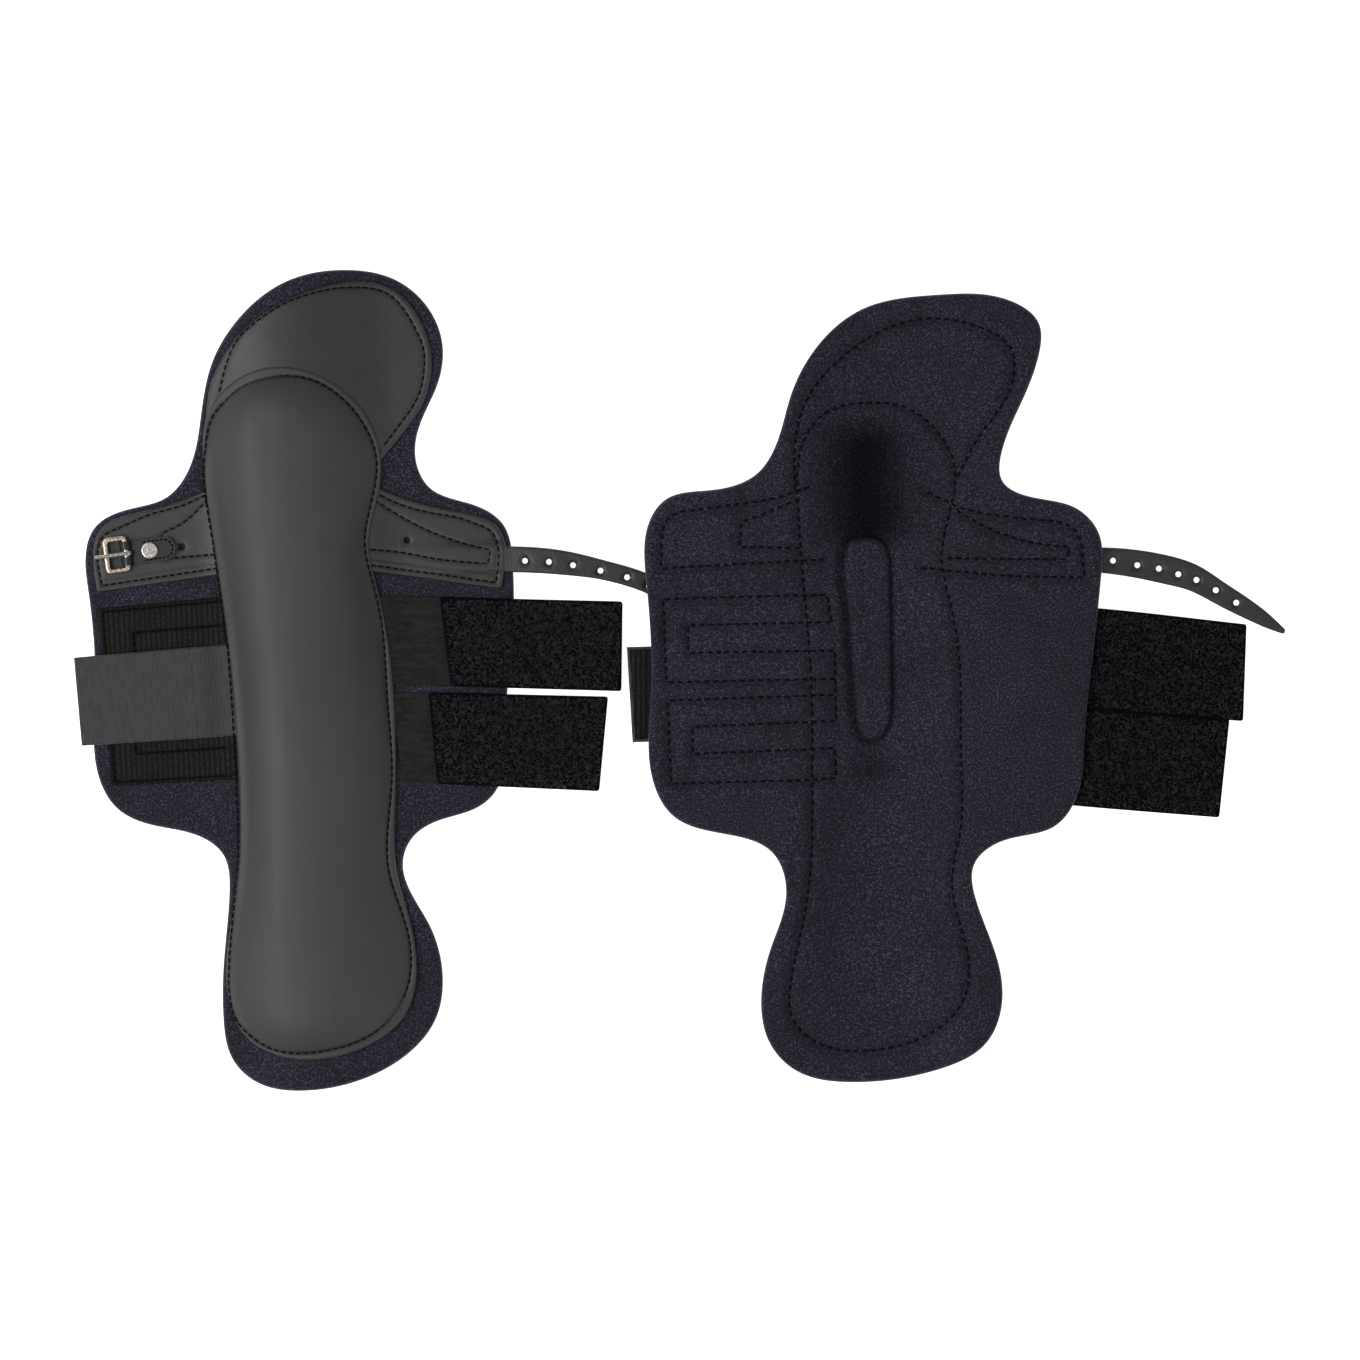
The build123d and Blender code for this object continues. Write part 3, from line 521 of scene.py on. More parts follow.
def cut_of(loop):
    """Width, length and area in metres of a flat piece, along its longest way."""
    spread = loop - loop.mean(0)
    ways = np.linalg.svd(spread, full_matrices=False)[2]
    length, width = (float(v) for v in np.ptp(spread @ ways.T, axis=0) * MM)
    x, y = loop[:, 0], loop[:, 1]
    area = float(abs((x * np.roll(y, -1) - np.roll(x, -1) * y).sum()) / 2) * MM * MM
    return dict(flat=(width, length), area=area)


def turns_left(plan, f):
    a, b, c = plan[f[0]], plan[f[1]], plan[f[2]]
    return (b[0] - a[0]) * (c[1] - a[1]) - (b[1] - a[1]) * (c[0] - a[0]) > 0


def smooth_step(t):
    """Smooth passage from 0 to 1."""
    t = np.clip(t, 0, 1)
    return t * t * (3 - 2 * t)


def arch(x):
    """Height of the lining above the floor across the leg."""
    px, pz = np.array(ARCH, float).T
    slope = np.gradient(pz, px)
    slope[0] = slope[-1] = 0
    x = np.clip(np.abs(x), 0, px[-1] - 1e-6)
    i = np.searchsorted(px, x, side="right") - 1
    w = px[i + 1] - px[i]
    t = (x - px[i]) / w
    return ((2 * t**3 - 3 * t**2 + 1) * pz[i] + (t**3 - 2 * t**2 + t) * slope[i] * w
            + (3 * t**2 - 2 * t**3) * pz[i + 1] + (t**3 - t**2) * slope[i + 1] * w)


def waves(plan, size, seed):
    """Slow random undulation between -1 and 1."""
    return np.array([noise.noise(Vector((x / size, y / size, seed))) for x, y in plan])


# ---- a boot and its pieces ------------------------------------------------------------------------
class Boot:
    """One boot: its plan, its place in the frame and its folds."""

    def __init__(self, side):
        self.side = side
        self.plan = PLANS[side]
        self.over = self.plan["over"]
        turn = math.radians(self.plan["turn"])
        self.c, self.s = math.cos(turn), math.sin(turn)
        self.joints = {j["name"]: j for j in frame["joints"] if "pos_m" in j}

    def world(self, p):
        x = self.plan["x"] + p[:, 0] * self.c - p[:, 1] * self.s
        y = p[:, 0] * self.s + p[:, 1] * self.c
        z = CROWN - p[:, 2] if self.over else p[:, 2]
        return np.stack([x, y, z], 1) * MM

    def local(self, w):
        x, y = w[:, 0] / MM - self.plan["x"], w[:, 1] / MM
        z = CROWN - w[:, 2] / MM if self.over else w[:, 2] / MM
        return np.stack([x * self.c + y * self.s, -x * self.s + y * self.c, z], 1)

    def hinge(self, name):
        """Plan point and plan direction of a joint's axis."""
        j = self.joints[f"{self.side}_{name}"]
        a = self.local(np.array([j["pos_m"]], float))[0]
        b = self.local(np.array([np.add(j["pos_m"], np.multiply(j["axis"], MM))], float))[0]
        d = (b - a)[:2]
        return a[:2], d / np.linalg.norm(d)

    def piece(self, name, verts, faces, material, slot):
        """A mesh object of this boot, from plan points with layer heights."""
        mesh = bpy.data.meshes.new(f"{self.side}_{name}")
        faces = [tuple(int(i) for i in f) for f in faces]
        if self.over:
            faces = [f[::-1] for f in faces]
        mesh.from_pydata(self.world(verts).tolist(), [], faces)
        mesh.validate()
        where = mesh.attributes.new("plan", "FLOAT_VECTOR", "POINT")
        where.data.foreach_set("vector", (verts * MM).astype(np.float32).ravel())
        mesh.polygons.foreach_set("use_smooth", [True] * len(mesh.polygons))
        mesh.materials.append(material)
        obj = bpy.data.objects.new(f"{self.side}_{name}", mesh)
        bpy.context.scene.collection.objects.link(obj)
        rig.slot(obj, slot)
        return obj

    def ride(self, obj, body):
        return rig.ride(obj, f"{self.side}_{body}")

    def bend(self, obj, fold, parent, child, before=2.5, after=BEND_END, lobes=True):
        """The piece bends between two bodies, from just inside the fold to a little outside it.
        The lobes above and below a wing stay with the shin part."""
        point, along = self.hinge(fold)
        normal = np.array([-along[1], along[0]])
        if normal[0] * point[0] < 0:
            normal = -normal
        ends = [np.append(point + normal * k, 0.0)[None] for k in (-before, after)]
        start, end = (self.world(e)[0] for e in ends)
        start[2] = end[2] = 0
        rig.blend(obj, f"{self.side}_{parent}", f"{self.side}_{child}",
                 start=tuple(start), end=tuple(end))
        if lobes and child.endswith("wing"):
            y = self.local(points_of(obj))[:, 1]
            weight = obj.data.attributes["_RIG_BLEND"].data
            values = np.empty(len(y), np.float32)
            weight.foreach_get("value", values)
            values *= smooth_step((WING_TOP - y) / 8) * smooth_step((y - WING_LOW) / 8)
            weight.foreach_set("value", values)
        return obj

    def plate(self, name, loop, low, high, material, slot, edge=0.8, pitch=PITCH, lines=(), holes=()):
        """A closed plate over a plan loop, with rounded edges, between two height fields."""
        plan, tris = triangulate(loop, pitch, lines, holes=holes)
        d = distance(plan, loop, True)
        for hole in holes:
            d = np.minimum(d, distance(plan, ring_at(*hole), True))
        bottom, top = low(plan), high(plan)
        verts, faces, _ = shell(plan, tris, d, bottom, top, edge)
        obj = self.piece(name, verts, faces, material, slot)
        if lines:
            near = np.min([distance(verts[:, :2], line) for line in lines], axis=0)
            # painted shade along the seam lines: the material darkens its colour there
            self.mark(obj, np.exp(-(near / 0.7) ** 2))
        return obj

    @staticmethod
    def mark(obj, values):
        """Painted shade at each vertex, from 0 to 1, kept in the seam attribute for the material, which darkens its
        colour there.
        """
        seam = obj.data.attributes.new("seam", "FLOAT", "POINT")
        seam.data.foreach_set("value", values.astype(np.float32))

    def outer(self, lift=0.0):
        """Height field a little above the liner's outer face."""
        return lambda plan: arch(plan[:, 0]) + LINER + lift


def points_of(obj):
    """The vertices of an object, in metres."""
    co = np.empty(len(obj.data.vertices) * 3, np.float32)
    obj.data.vertices.foreach_get("co", co)
    return co.reshape(-1, 3).astype(float)


def shell(plan, tris, d, bottom, top, edge):
    """Vertices and faces of a closed plate whose rim is a round nose."""
    rim = d < 1e-3
    middle = (bottom + top) / 2
    t = np.clip(d / edge, 0, 1)
    bulge = np.sqrt(1 - (1 - t) ** 2)
    upper = np.column_stack([plan, middle + (top - middle) * bulge])
    lower = np.column_stack([plan, middle + (bottom - middle) * bulge])
    under = np.where(rim, np.arange(len(plan)), 0)
    under[~rim] = len(plan) + np.arange((~rim).sum())
    verts = np.vstack([upper, lower[~rim]])
    faces = list(tris) + [under[f][::-1] for f in tris]
    return verts, faces, under


# ---- materials ------------------------------------------------------------------------------------
class Shade:
    """Short way to build one procedural material."""

    def __init__(self, name, roughness, plan=True, **values):
        self.material = bpy.data.materials.new(name)
        self.material.use_nodes = True
        self.nodes, self.links = self.material.node_tree.nodes, self.material.node_tree.links
        self.shader = self.nodes["Principled BSDF"]
        self.shader.inputs["Roughness"].default_value = roughness
        for key, value in values.items():
            self.shader.inputs[key.replace("_", " ")].default_value = value
        if plan:
            self.where = self.nodes.new("ShaderNodeAttribute")
            self.where.attribute_name = "plan"
            self.where = self.where.outputs["Vector"]
        else:
            self.where = self.nodes.new("ShaderNodeTexCoord").outputs["Object"]
        self.height = None

    def attribute(self, name):
        node = self.nodes.new("ShaderNodeAttribute")
        node.attribute_name = name
        return node.outputs["Fac"]

    def stretch(self, scale):
        node = self.nodes.new("ShaderNodeMapping")
        node.inputs["Scale"].default_value = scale
        self.links.new(self.where, node.inputs["Vector"])
        return node.outputs["Vector"]

    def noise(self, scale, detail=3.0, rough=0.55, stretch=(1, 1, 1)):
        node = self.nodes.new("ShaderNodeTexNoise")
        node.inputs["Scale"].default_value = scale
        node.inputs["Detail"].default_value = detail
        node.inputs["Roughness"].default_value = rough
        self.links.new(self.stretch(stretch), node.inputs["Vector"])
        return node.outputs["Fac"]

    def cells(self, scale, stretch=(1, 1, 1)):
        node = self.nodes.new("ShaderNodeTexVoronoi")
        node.inputs["Scale"].default_value = scale
        self.links.new(self.stretch(stretch), node.inputs["Vector"])
        return node.outputs["Distance"]

    def ribs(self, pitch, direction, distortion):
        """Parallel ribs a pitch apart, in metres, across a plan direction."""
        node = self.nodes.new("ShaderNodeTexWave")
        node.wave_type, node.bands_direction = "BANDS", direction
        node.inputs["Scale"].default_value = 2 * math.pi / 20 / pitch
        node.inputs["Distortion"].default_value = distortion
        self.links.new(self.where, node.inputs["Vector"])
        return node.outputs["Fac"]

    def ramp(self, value, *stops):
        """Colours along a value; each stop is (position, (r, g, b))."""
        node = self.nodes.new("ShaderNodeValToRGB")
        while len(node.color_ramp.elements) < len(stops):
            node.color_ramp.elements.new(0.5)
        for element, (position, colour) in zip(node.color_ramp.elements, stops):
            element.position = position
            element.color = (*colour, 1)
        self.links.new(value, node.inputs["Fac"])
        return node.outputs["Color"]

    def mix(self, factor, a, b, mode="MIX"):
        node = self.nodes.new("ShaderNodeMix")
        node.data_type, node.blend_type = "RGBA", mode
        for socket, value in (("Factor", factor), ("A", a), ("B", b)):
            found = [i for i in node.inputs if i.name == socket and i.enabled][0]
            if isinstance(value, (int, float, tuple)):
                found.default_value = value
            else:
                self.links.new(value, found)
        return [o for o in node.outputs if o.enabled][0]

    def colour(self, value):
        self.links.new(value, self.shader.inputs["Base Color"])

    def drive(self, socket, value, low, high):
        node = self.nodes.new("ShaderNodeMapRange")
        node.inputs["To Min"].default_value, node.inputs["To Max"].default_value = low, high
        self.links.new(value, node.inputs["Value"])
        self.links.new(node.outputs["Result"], self.shader.inputs[socket])

    def rough(self, value, low, high):
        self.drive("Roughness", value, low, high)

    def bump(self, value, depth):
        """Adds relief of a depth in metres."""
        node = self.nodes.new("ShaderNodeBump")
        node.inputs["Distance"].default_value = depth
        self.links.new(value, node.inputs["Height"])
        if self.height is not None:
            self.links.new(self.height, node.inputs["Normal"])
        self.height = node.outputs["Normal"]
        self.links.new(self.height, self.shader.inputs["Normal"])


def neoprene():
    """Dark navy knit bonded to neoprene: melange speckle, short pile sheen, soft grain."""
    m = Shade("neoprene_knit", 0.85, Sheen_Roughness=0.45, Sheen_Tint=(0.55, 0.58, 0.85, 1))
    speckle = m.ramp(m.noise(1150, 2, 0.75), (0.38, (0.0022, 0.0020, 0.0036)),
                     (0.53, (0.0105, 0.0096, 0.0170)), (0.66, (0.052, 0.048, 0.082)))
    cloud = m.ramp(m.noise(28, 3, 0.6), (0.32, (0.66, 0.66, 0.68)), (0.7, (1.2, 1.2, 1.2)))
    shade = m.mix(1.0, speckle, cloud, "MULTIPLY")
    # painted shade: where the seam attribute is high (the lining's seam grooves, the hollow above the tendon bar, the
    # dip below it, the bar's foot) the colour darkens and sheen and specular fall
    m.colour(m.mix(m.attribute("seam"), shade, (0.0010, 0.0010, 0.0017, 1)))
    m.drive("Sheen Weight", m.attribute("seam"), 0.28, 0.02)
    m.drive("Specular IOR Level", m.attribute("seam"), 0.25, 0.03)
    m.bump(m.noise(1500, 2, 0.6), 0.00025)
    m.bump(m.noise(420, 3, 0.6), 0.00022)
    return m.material


def patch_leather():
    """Charcoal synthetic leather with a fine grain and a soft gloss."""
    m = Shade("patch_leather", 0.42, Specular_IOR_Level=0.5, Coat_Weight=0.12, Coat_Roughness=0.3)
    tone = m.ramp(m.noise(60, 5, 0.65), (0.3, (0.0100, 0.0092, 0.0098)), (0.7, (0.0160, 0.0148, 0.0158)))
    # painted shade: the seam attribute darkens the colour along the stitch grooves and the embossed creases
    m.colour(m.mix(m.attribute("seam"), tone, (0.003, 0.003, 0.003, 1)))
    m.rough(m.noise(240, 4, 0.6), 0.47, 0.64)
    m.bump(m.cells(1300), 0.00006)
    m.bump(m.noise(500, 4, 0.6), 0.00007)
    return m.material


def pad_shell():
    """Satin moulded shell: nearly smooth, with faint drawn marks and scuffs along its length."""
    m = Shade("pad_shell", 0.5, Specular_IOR_Level=0.42)
    tone = m.ramp(m.noise(12, 4, 0.6), (0.3, (0.0245, 0.0223, 0.0240)), (0.7, (0.0325, 0.0298, 0.0319)))
    # painted shade: the seam attribute darkens the colour along the stitch groove of the rim
    m.colour(m.mix(m.attribute("seam"), tone, (0.002, 0.002, 0.002, 1)))
    m.rough(m.noise(260, 5, 0.7, (1, 0.08, 1)), 0.5, 0.62)
    m.bump(m.noise(1800, 2, 0.5), 0.00002)
    m.bump(m.noise(150, 3, 0.5, (1, 0.2, 1)), 0.00006)
    return m.material


def webbing():
    """Dark grey ribbed webbing."""
    m = Shade("ribbed_webbing", 0.62, Sheen_Weight=0.15, Sheen_Roughness=0.5, Specular_IOR_Level=0.4)
    m.colour(m.ramp(m.noise(700, 3, 0.7, (1, 0.25, 1)), (0.3, (0.0118, 0.0109, 0.0130)),
                    (0.75, (0.0305, 0.0280, 0.0340))))
    m.bump(m.ribs(0.00085, "X", 0.4), 0.00012)
    m.bump(m.noise(1600, 2, 0.6), 0.00012)
    return m.material


def elastic():
    """Brownish black elastic with fine covered-rubber ribs along its length."""
    m = Shade("ribbed_elastic", 0.75, Sheen_Weight=0.05, Specular_IOR_Level=0.25)
    m.colour(m.ramp(m.noise(600, 3, 0.75, (0.3, 1, 1)), (0.36, (0.0012, 0.0009, 0.0009)),
                    (0.66, (0.0125, 0.0104, 0.0100))))
    m.bump(m.ribs(0.0011, "Y", 0.3), 0.00018)
    m.bump(m.noise(1500, 2, 0.6), 0.00012)
    return m.material


def hook_tape():
    """Black hook tape: matt ground with a glint off the hooks."""
    m = Shade("hook_tape", 0.7, Specular_IOR_Level=0.14)
    tone = m.ramp(m.noise(1400, 2, 0.7), (0.38, (0.0006, 0.0006, 0.0007)), (0.66, (0.0135, 0.0128, 0.0137)))
    ribs = m.ramp(m.ribs(0.0023, "X", 0.6), (0.2, (0.25, 0.25, 0.25)), (0.85, (1.75, 1.75, 1.75)))
    tone = m.mix(1.0, tone, ribs, "MULTIPLY")
    # painted shade: the seam attribute darkens the colour along the stitched comb grooves
    m.colour(m.mix(m.attribute("seam"), tone, (0.0003, 0.0003, 0.0003, 1)))
    m.bump(m.noise(1700, 2, 0.7), 0.0003)
    return m.material


def loop_pile():
    """Near-black brushed loop ground."""
    m = Shade("loop_pile", 0.95, Specular_IOR_Level=0.08)
    m.colour(m.ramp(m.noise(800, 3, 0.7), (0.35, (0.0007, 0.0007, 0.0010)), (0.75, (0.0036, 0.0036, 0.0052))))
    m.bump(m.noise(900, 3, 0.7), 0.0006)
    return m.material


def fibre():
    """Single nylon loops of the pile, dark with a cool shine."""
    m = Shade("loop_fibre", 0.4, Specular_IOR_Level=0.42)
    m.colour(m.ramp(m.noise(420, 2, 0.6), (0.38, (0.0012, 0.0012, 0.0016)), (0.68, (0.027, 0.027, 0.035))))
    return m.material


def billet_leather():
    """Dark leather, slightly brown, creased where it bends."""
    m = Shade("billet_leather", 0.5, Specular_IOR_Level=0.5)
    m.colour(m.ramp(m.noise(90, 5, 0.7), (0.3, (0.009, 0.0083, 0.008)), (0.75, (0.022, 0.02, 0.0195))))
    m.rough(m.noise(200, 4, 0.6), 0.4, 0.62)
    m.bump(m.noise(700, 5, 0.7), 0.00012)
    m.bump(m.cells(520, (2.2, 1, 1)), 0.00008)
    return m.material


def nickel(name="worn_nickel", warm=0.0):
    """Nickel plating worn to a warm tone in places."""
    m = Shade(name, 0.3, plan=False, Metallic=1.0)
    tone = m.ramp(m.noise(900, 3, 0.7), (0.35, (0.36, 0.33 - 0.06 * warm, 0.3 - 0.1 * warm)),
                  (0.65, (0.66, 0.63 - 0.06 * warm, 0.6 - 0.16 * warm)))
    m.colour(tone)
    m.rough(m.noise(1500, 4, 0.7), 0.16, 0.36)
    m.bump(m.noise(1100, 3, 0.6), 0.00004)
    return m.material


def thread():
    """Bonded black thread."""
    m = Shade("thread", 0.7, Specular_IOR_Level=0.1)
    m.colour(m.ramp(m.noise(2500, 2, 0.5), (0.3, (0.0005, 0.0005, 0.0006)), (0.8, (0.0022, 0.0022, 0.0028))))
    return m.material


def chape_leather():
    """Black bridle leather of the buckle's chape."""
    m = Shade("chape_leather", 0.45, plan=False, Specular_IOR_Level=0.4)
    m.colour(m.ramp(m.noise(200, 5, 0.7), (0.3, (0.0022, 0.002, 0.002)), (0.75, (0.006, 0.0055, 0.0052))))
    m.bump(m.noise(900, 4, 0.7), 0.0001)
    return m.material


MATERIALS = dict(chape=chape_leather(), neoprene=neoprene(), patch=patch_leather(), pad=pad_shell(),
                 web=webbing(), elastic=elastic(), hook=hook_tape(), pile=loop_pile(), fibre=fibre(),
                 leather=billet_leather(), nickel=nickel(), brass=nickel("worn_brass", 1.0),
                 thread=thread())


# ---- stitches -------------------------------------------------------------------------------------
def stitch_mesh(lines, height, side, pitch):
    """Short sunk thread dashes along plan lines; side is 1 on the outer face and -1 on the lining."""
    share, radius = (0.84, THREAD) if side > 0 else (0.66, THREAD * 1.35)
    verts, faces = [], []
    n = 6
    ring = [(math.cos(a), math.sin(a)) for a in np.linspace(0, 2 * math.pi, n, endpoint=False)]
    sections = [(share * at, r, sink) for at, r, sink in (
        (-0.5, 0.15, -0.45), (-0.4, 0.8, -0.05), (0, 1.0, 0.08), (0.4, 0.8, -0.05), (0.5, 0.15, -0.45))]
    for line in lines:
        along = np.concatenate([[0], np.cumsum(np.linalg.norm(np.diff(line, axis=0), axis=1))])
        count = max(1, round(along[-1] / pitch))
        step = along[-1] / count
        for k in range(count):
            first = len(verts)
            at = [(k + 0.5 + s[0]) * step for s in sections]
            x = np.interp(at, along, line[:, 0])
            y = np.interp(at, along, line[:, 1])
            way = np.array([x[-1] - x[0], y[-1] - y[0]])
            way /= max(np.linalg.norm(way), 1e-9)
            z = height(np.stack([x, y], 1))
            for (_, r, sink), px, py, pz in zip(sections, x, y, z):
                for c, s in ring:
                    verts.append((px - way[1] * c * radius * r, py + way[0] * c * radius * r,
                                  pz + side * (s * radius * r + sink + 0.1)))
            for j in range(len(sections) - 1):
                for i in range(n):
                    a, b = first + n * j + i, first + n * j + (i + 1) % n
                    faces.append((a, a + n, b + n, b) if side > 0 else (a, b, b + n, a + n))
            ends = [first + i for i in range(n)], [first + n * (len(sections) - 1) + i for i in range(n)]
            faces.append(tuple(ends[0] if side > 0 else ends[0][::-1]))
            faces.append(tuple(ends[1][::-1] if side > 0 else ends[1]))
    return np.array(verts), faces


def grooves(plan, lines, depth, width):
    """Depth of the valleys along the given lines."""
    d = np.min([distance(plan, line) for line in lines], axis=0)
    return depth * np.exp(-(d / width) ** 2)


# ---- the soft pieces ------------------------------------------------------------------------------
def smoothed(lines):
    """The seam lines as fine curves; two-point lines stay straight."""
    return [curve(line, 1.0) for line in lines]


def closed(points):
    """A closed curve that ends on its first point."""
    line = curve(points, 1.0, closed=True)
    return np.vstack([line, line[:1]])


def seams_of(boot):
    """The seam lines of a boot, as fine curves."""
    p = boot.plan
    return dict(pad=[closed(p["pad_seam"])], top=smoothed([p["top_seam"]]),
                buckle=smoothed(p["buckle_seams"]), billet=smoothed(p["billet_seams"]),
                comb=smoothed(p["comb"]))


def build_liner(boot, seams):
    """The knit-faced neoprene shell, one sheet that bends at both folds, cut in two along the middle."""
    loop = even(curve(boot.plan["liner"], closed=True), 1.3)
    lines = seams["pad"] + seams["top"] + seams["buckle"] + seams["billet"] + seams["comb"]
    plan, tris = triangulate(loop, PITCH, lines if boot.over else ())
    d = distance(plan, loop, True)
    low = arch(plan[:, 0]) + 0.22 * waves(plan, 34, 3)
    # dark holds painted shade for the lining; the boot lying on its lining gets none
    dark = np.zeros(2 * len(plan))
    if boot.over:
        near = np.min([distance(plan, line) for line in lines], axis=0)
        low += (QUILT * np.exp(-(near / QUILT_REACH) ** 2)
                - PILLOW * np.exp(-((near - PILLOW_AT) / PILLOW_REACH) ** 2))
        x, y0, y1 = boot.plan["channel"]
        hollow = np.exp(-((plan[:, 0] - x) / 13) ** 2) * smooth_step((plan[:, 1] - y0) / 10) * (
            smooth_step((y1 - plan[:, 1]) / 16))
        low += HOLLOW * hollow
        foot = np.exp(-((plan[:, 0] + 2) / 9) ** 2 - ((plan[:, 1] + 38) / 7) ** 2)
        low += FOOT * foot
        # the bar's outline is moved 1.3 mm to the left and a painted shadow is laid round it, so that it falls to the
        # bar's left
        bar = even(curve(boot.plan["bar"], closed=True), 1.0) - (1.3, 0)
        shade = 0.75 * np.exp(-(distance(plan, bar, True) / 2.1) ** 2)
        # painted shade in the hollow, in the dip below the bar and in the bar's shadow
        painted_hollow_and_bar_shade = 0.88 * np.sqrt(hollow) + 0.4 * foot + 0.8 * shade
    high = arch(plan[:, 0]) + LINER + 0.15 * waves(plan, 26, 9)
    low = np.minimum(low, high - 0.8)
    verts, faces, under = shell(plan, tris, d, low, high, 2.0)
    if boot.over:
        # painted shade on the lining: a faint band along the seams plus the shades above, at most 0.84
        dark[under] = np.clip(0.1 * np.exp(-(near / 2.4) ** 2) + painted_hollow_and_bar_shade, 0, 0.84)
    whole = boot.piece("liner_whole", verts, faces, MATERIALS["neoprene"], "neoprene_knit")
    normals = np.array([n.vector[:] for n in whole.data.vertex_normals])
    bpy.data.objects.remove(whole)
    halves = {}
    left = plan[tris].mean(1)[:, 0] < 0
    for name, mine, wing in (("buckle", left, "buckle_wing"), ("strap", ~left, "strap_wing")):
        part = tris[mine]
        walls = [tuple(dict.fromkeys((a, int(under[a]), int(under[b]), b)))
                 for a, b in open_edges(part) if d[a] > 1e-3 or d[b] > 1e-3]
        used, mesh_faces = compact([tuple(f) for f in part] + [tuple(under[f][::-1]) for f in part]
                                   + walls)
        half = boot.piece(f"liner_{name}_side", verts[used], mesh_faces, MATERIALS["neoprene"],
                          "neoprene_knit")
        half.data.normals_split_custom_set_from_vertices(normals[used].tolist())
        # the painted shade goes to the material
        boot.mark(half, dark[used])
        size = np.ptp(plan[np.unique(part)], axis=0) * MM
        corners = plan[part]
        e, f = corners[:, 1] - corners[:, 0], corners[:, 2] - corners[:, 0]
        area = float(np.abs(e[:, 0] * f[:, 1] - e[:, 1] * f[:, 0]).sum() / 2) * MM * MM
        boot.bend(half, f"{wing}_wrap", "core", wing)
        halves[name] = (half, size, area)
    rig.replaces(halves["buckle"][0], f"{boot.side}_liner_core", f"{boot.side}_buckle_wing")
    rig.replaces(halves["strap"][0], f"{boot.side}_strap_wing")
    boot.liners = [half[0].name for half in halves.values()]
    return halves, Field(plan, low)


class Field:
    """Heights of scattered plan points, looked up at the nearest one."""

    def __init__(self, plan, z):
        self.z, self.tree = z, KDTree(len(plan))
        for i, (x, y) in enumerate(plan):
            self.tree.insert((x, y, 0), i)
        self.tree.balance()

    def __call__(self, plan):
        return np.array([self.z[self.tree.find((x, y, 0))[1]] for x, y in plan])


def build_pad(boot, seams):
    """The moulded strike pad: a sewn rim, a stitch groove and a raised crowned body."""
    loop = even(curve(boot.plan["pad"], closed=True), 1.2)

    def top(plan):
        d = distance(plan, loop, True)
        seam = distance(plan, seams["pad"][0])
        t = np.clip((d - PAD_RIM) / PAD_SHOULDER, 0, 1)
        body = 1 - (1 - t) ** 2.3
        rim = FLANGE - 0.6 * np.exp(-(seam / 0.75) ** 2)
        return arch(plan[:, 0]) + LINER + rim + (PAD - FLANGE) * body

    pad = boot.plate("strike_pad_shell", loop, boot.outer(GLUE), top, MATERIALS["pad"], "pad_shell",
                     edge=1.0, lines=seams["pad"], pitch=2.4)
    boot.ride(pad, "core")
    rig.replaces(pad, f"{boot.side}_strike_pad", f"{boot.side}_strike_foam")
    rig.padded(pad, fill=1.0)
    stitches(boot, "pad_thread", seams["pad"], lambda p: arch(p[:, 0]) + LINER + FLANGE - 0.5, 1)
    return pad


def stitches(boot, name, lines, height, side, fold=None, pitch=STITCH):
    """A row of stitches that rides the shin part, or bends with the fold that it crosses."""
    verts, faces = stitch_mesh(lines, height, side, pitch)
    obj = boot.piece(name, verts, faces, MATERIALS["thread"], "leather")
    if fold:
        boot.bend(obj, f"{fold}_wrap", "core", fold)
    else:
        boot.ride(obj, "core")
    return obj


def build_patches(boot, seams):
    """The sewn-on leather patches and their stitches."""
    p, made = boot.plan, []
    loop = even(np.vstack([curve(p["top_edge"]), top_root(boot)]), 1.2, smooth=1)
    top = boot.plate("top_patch_leather", loop, boot.outer(GLUE),
                     lambda q: boot.outer(PATCH)(q) - grooves(q, seams["top"], 0.3, 0.7),
                     MATERIALS["patch"], "patch", edge=0.9, lines=seams["top"])
    boot.ride(top, "core")
    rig.replaces(top, f"{boot.side}_top_patch")
    top_clear = [line[distance(line, seams["pad"][0]) > 4] for line in seams["top"]]
    thread = stitches(boot, "top_thread", top_clear, boot.outer(PATCH - 0.25), 1)
    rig.sheet(top, held="laid", rests_on=boot.liners, with_pieces=[thread], **cut_of(loop))
    for name, wing in (("buckle", "buckle_wing"), ("billet", "strap_wing")):
        loop = even(np.vstack([curve(p[f"{name}_patch"]), p[f"{name}_foot"][1:]]), 1.1, smooth=1)
        crease = smoothed([p[f"{name}_crease"]])
        lines = seams[name] + crease
        relief = billet_relief if name == "billet" else (lambda q: 0)

        def height(q, lines=lines, crease=crease, relief=relief, name=name):
            return (boot.outer(PATCH)(q) + relief(q) - grooves(q, seams[name], 0.32, 0.7)
                    - grooves(q, crease, 0.25, 0.6))

        hole = p[f"{name}_hole"]
        patch = boot.plate(f"{name}_patch_leather", loop,
                           lambda q, relief=relief: boot.outer(GLUE)(q) + relief(q) * 0.9, height,
                           MATERIALS["patch"], "patch", edge=0.8, lines=lines, holes=[(*hole, PATCH_HOLE_R)])
        boot.bend(patch, f"{wing}_wrap", "core", wing)
        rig.replaces(patch, f"{boot.side}_{name}_patch")
        thread = stitches(boot, f"{name}_thread", seams[name],
                          lambda q, relief=relief: boot.outer(PATCH - 0.28)(q) + relief(q), 1, wing)
        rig.sheet(patch, held="laid", rests_on=boot.liners, with_pieces=[thread], **cut_of(loop))
        made.append(patch)
    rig.replaces(made[1], f"{boot.side}_billet_anchor")


def top_root(boot):
    """Where the top patch ends, tucked under the strike pad."""
    return np.array(boot.plan["top_foot"][1:-1], float)


def billet_relief(q):
    """The patch swells over the root of the billet."""
    x, y = q[:, 0], q[:, 1]
    across = smooth_step((8.6 - np.abs(y - 49.6)) / 4.4)
    return 1.0 * across * smooth_step((x - 40) / 34)


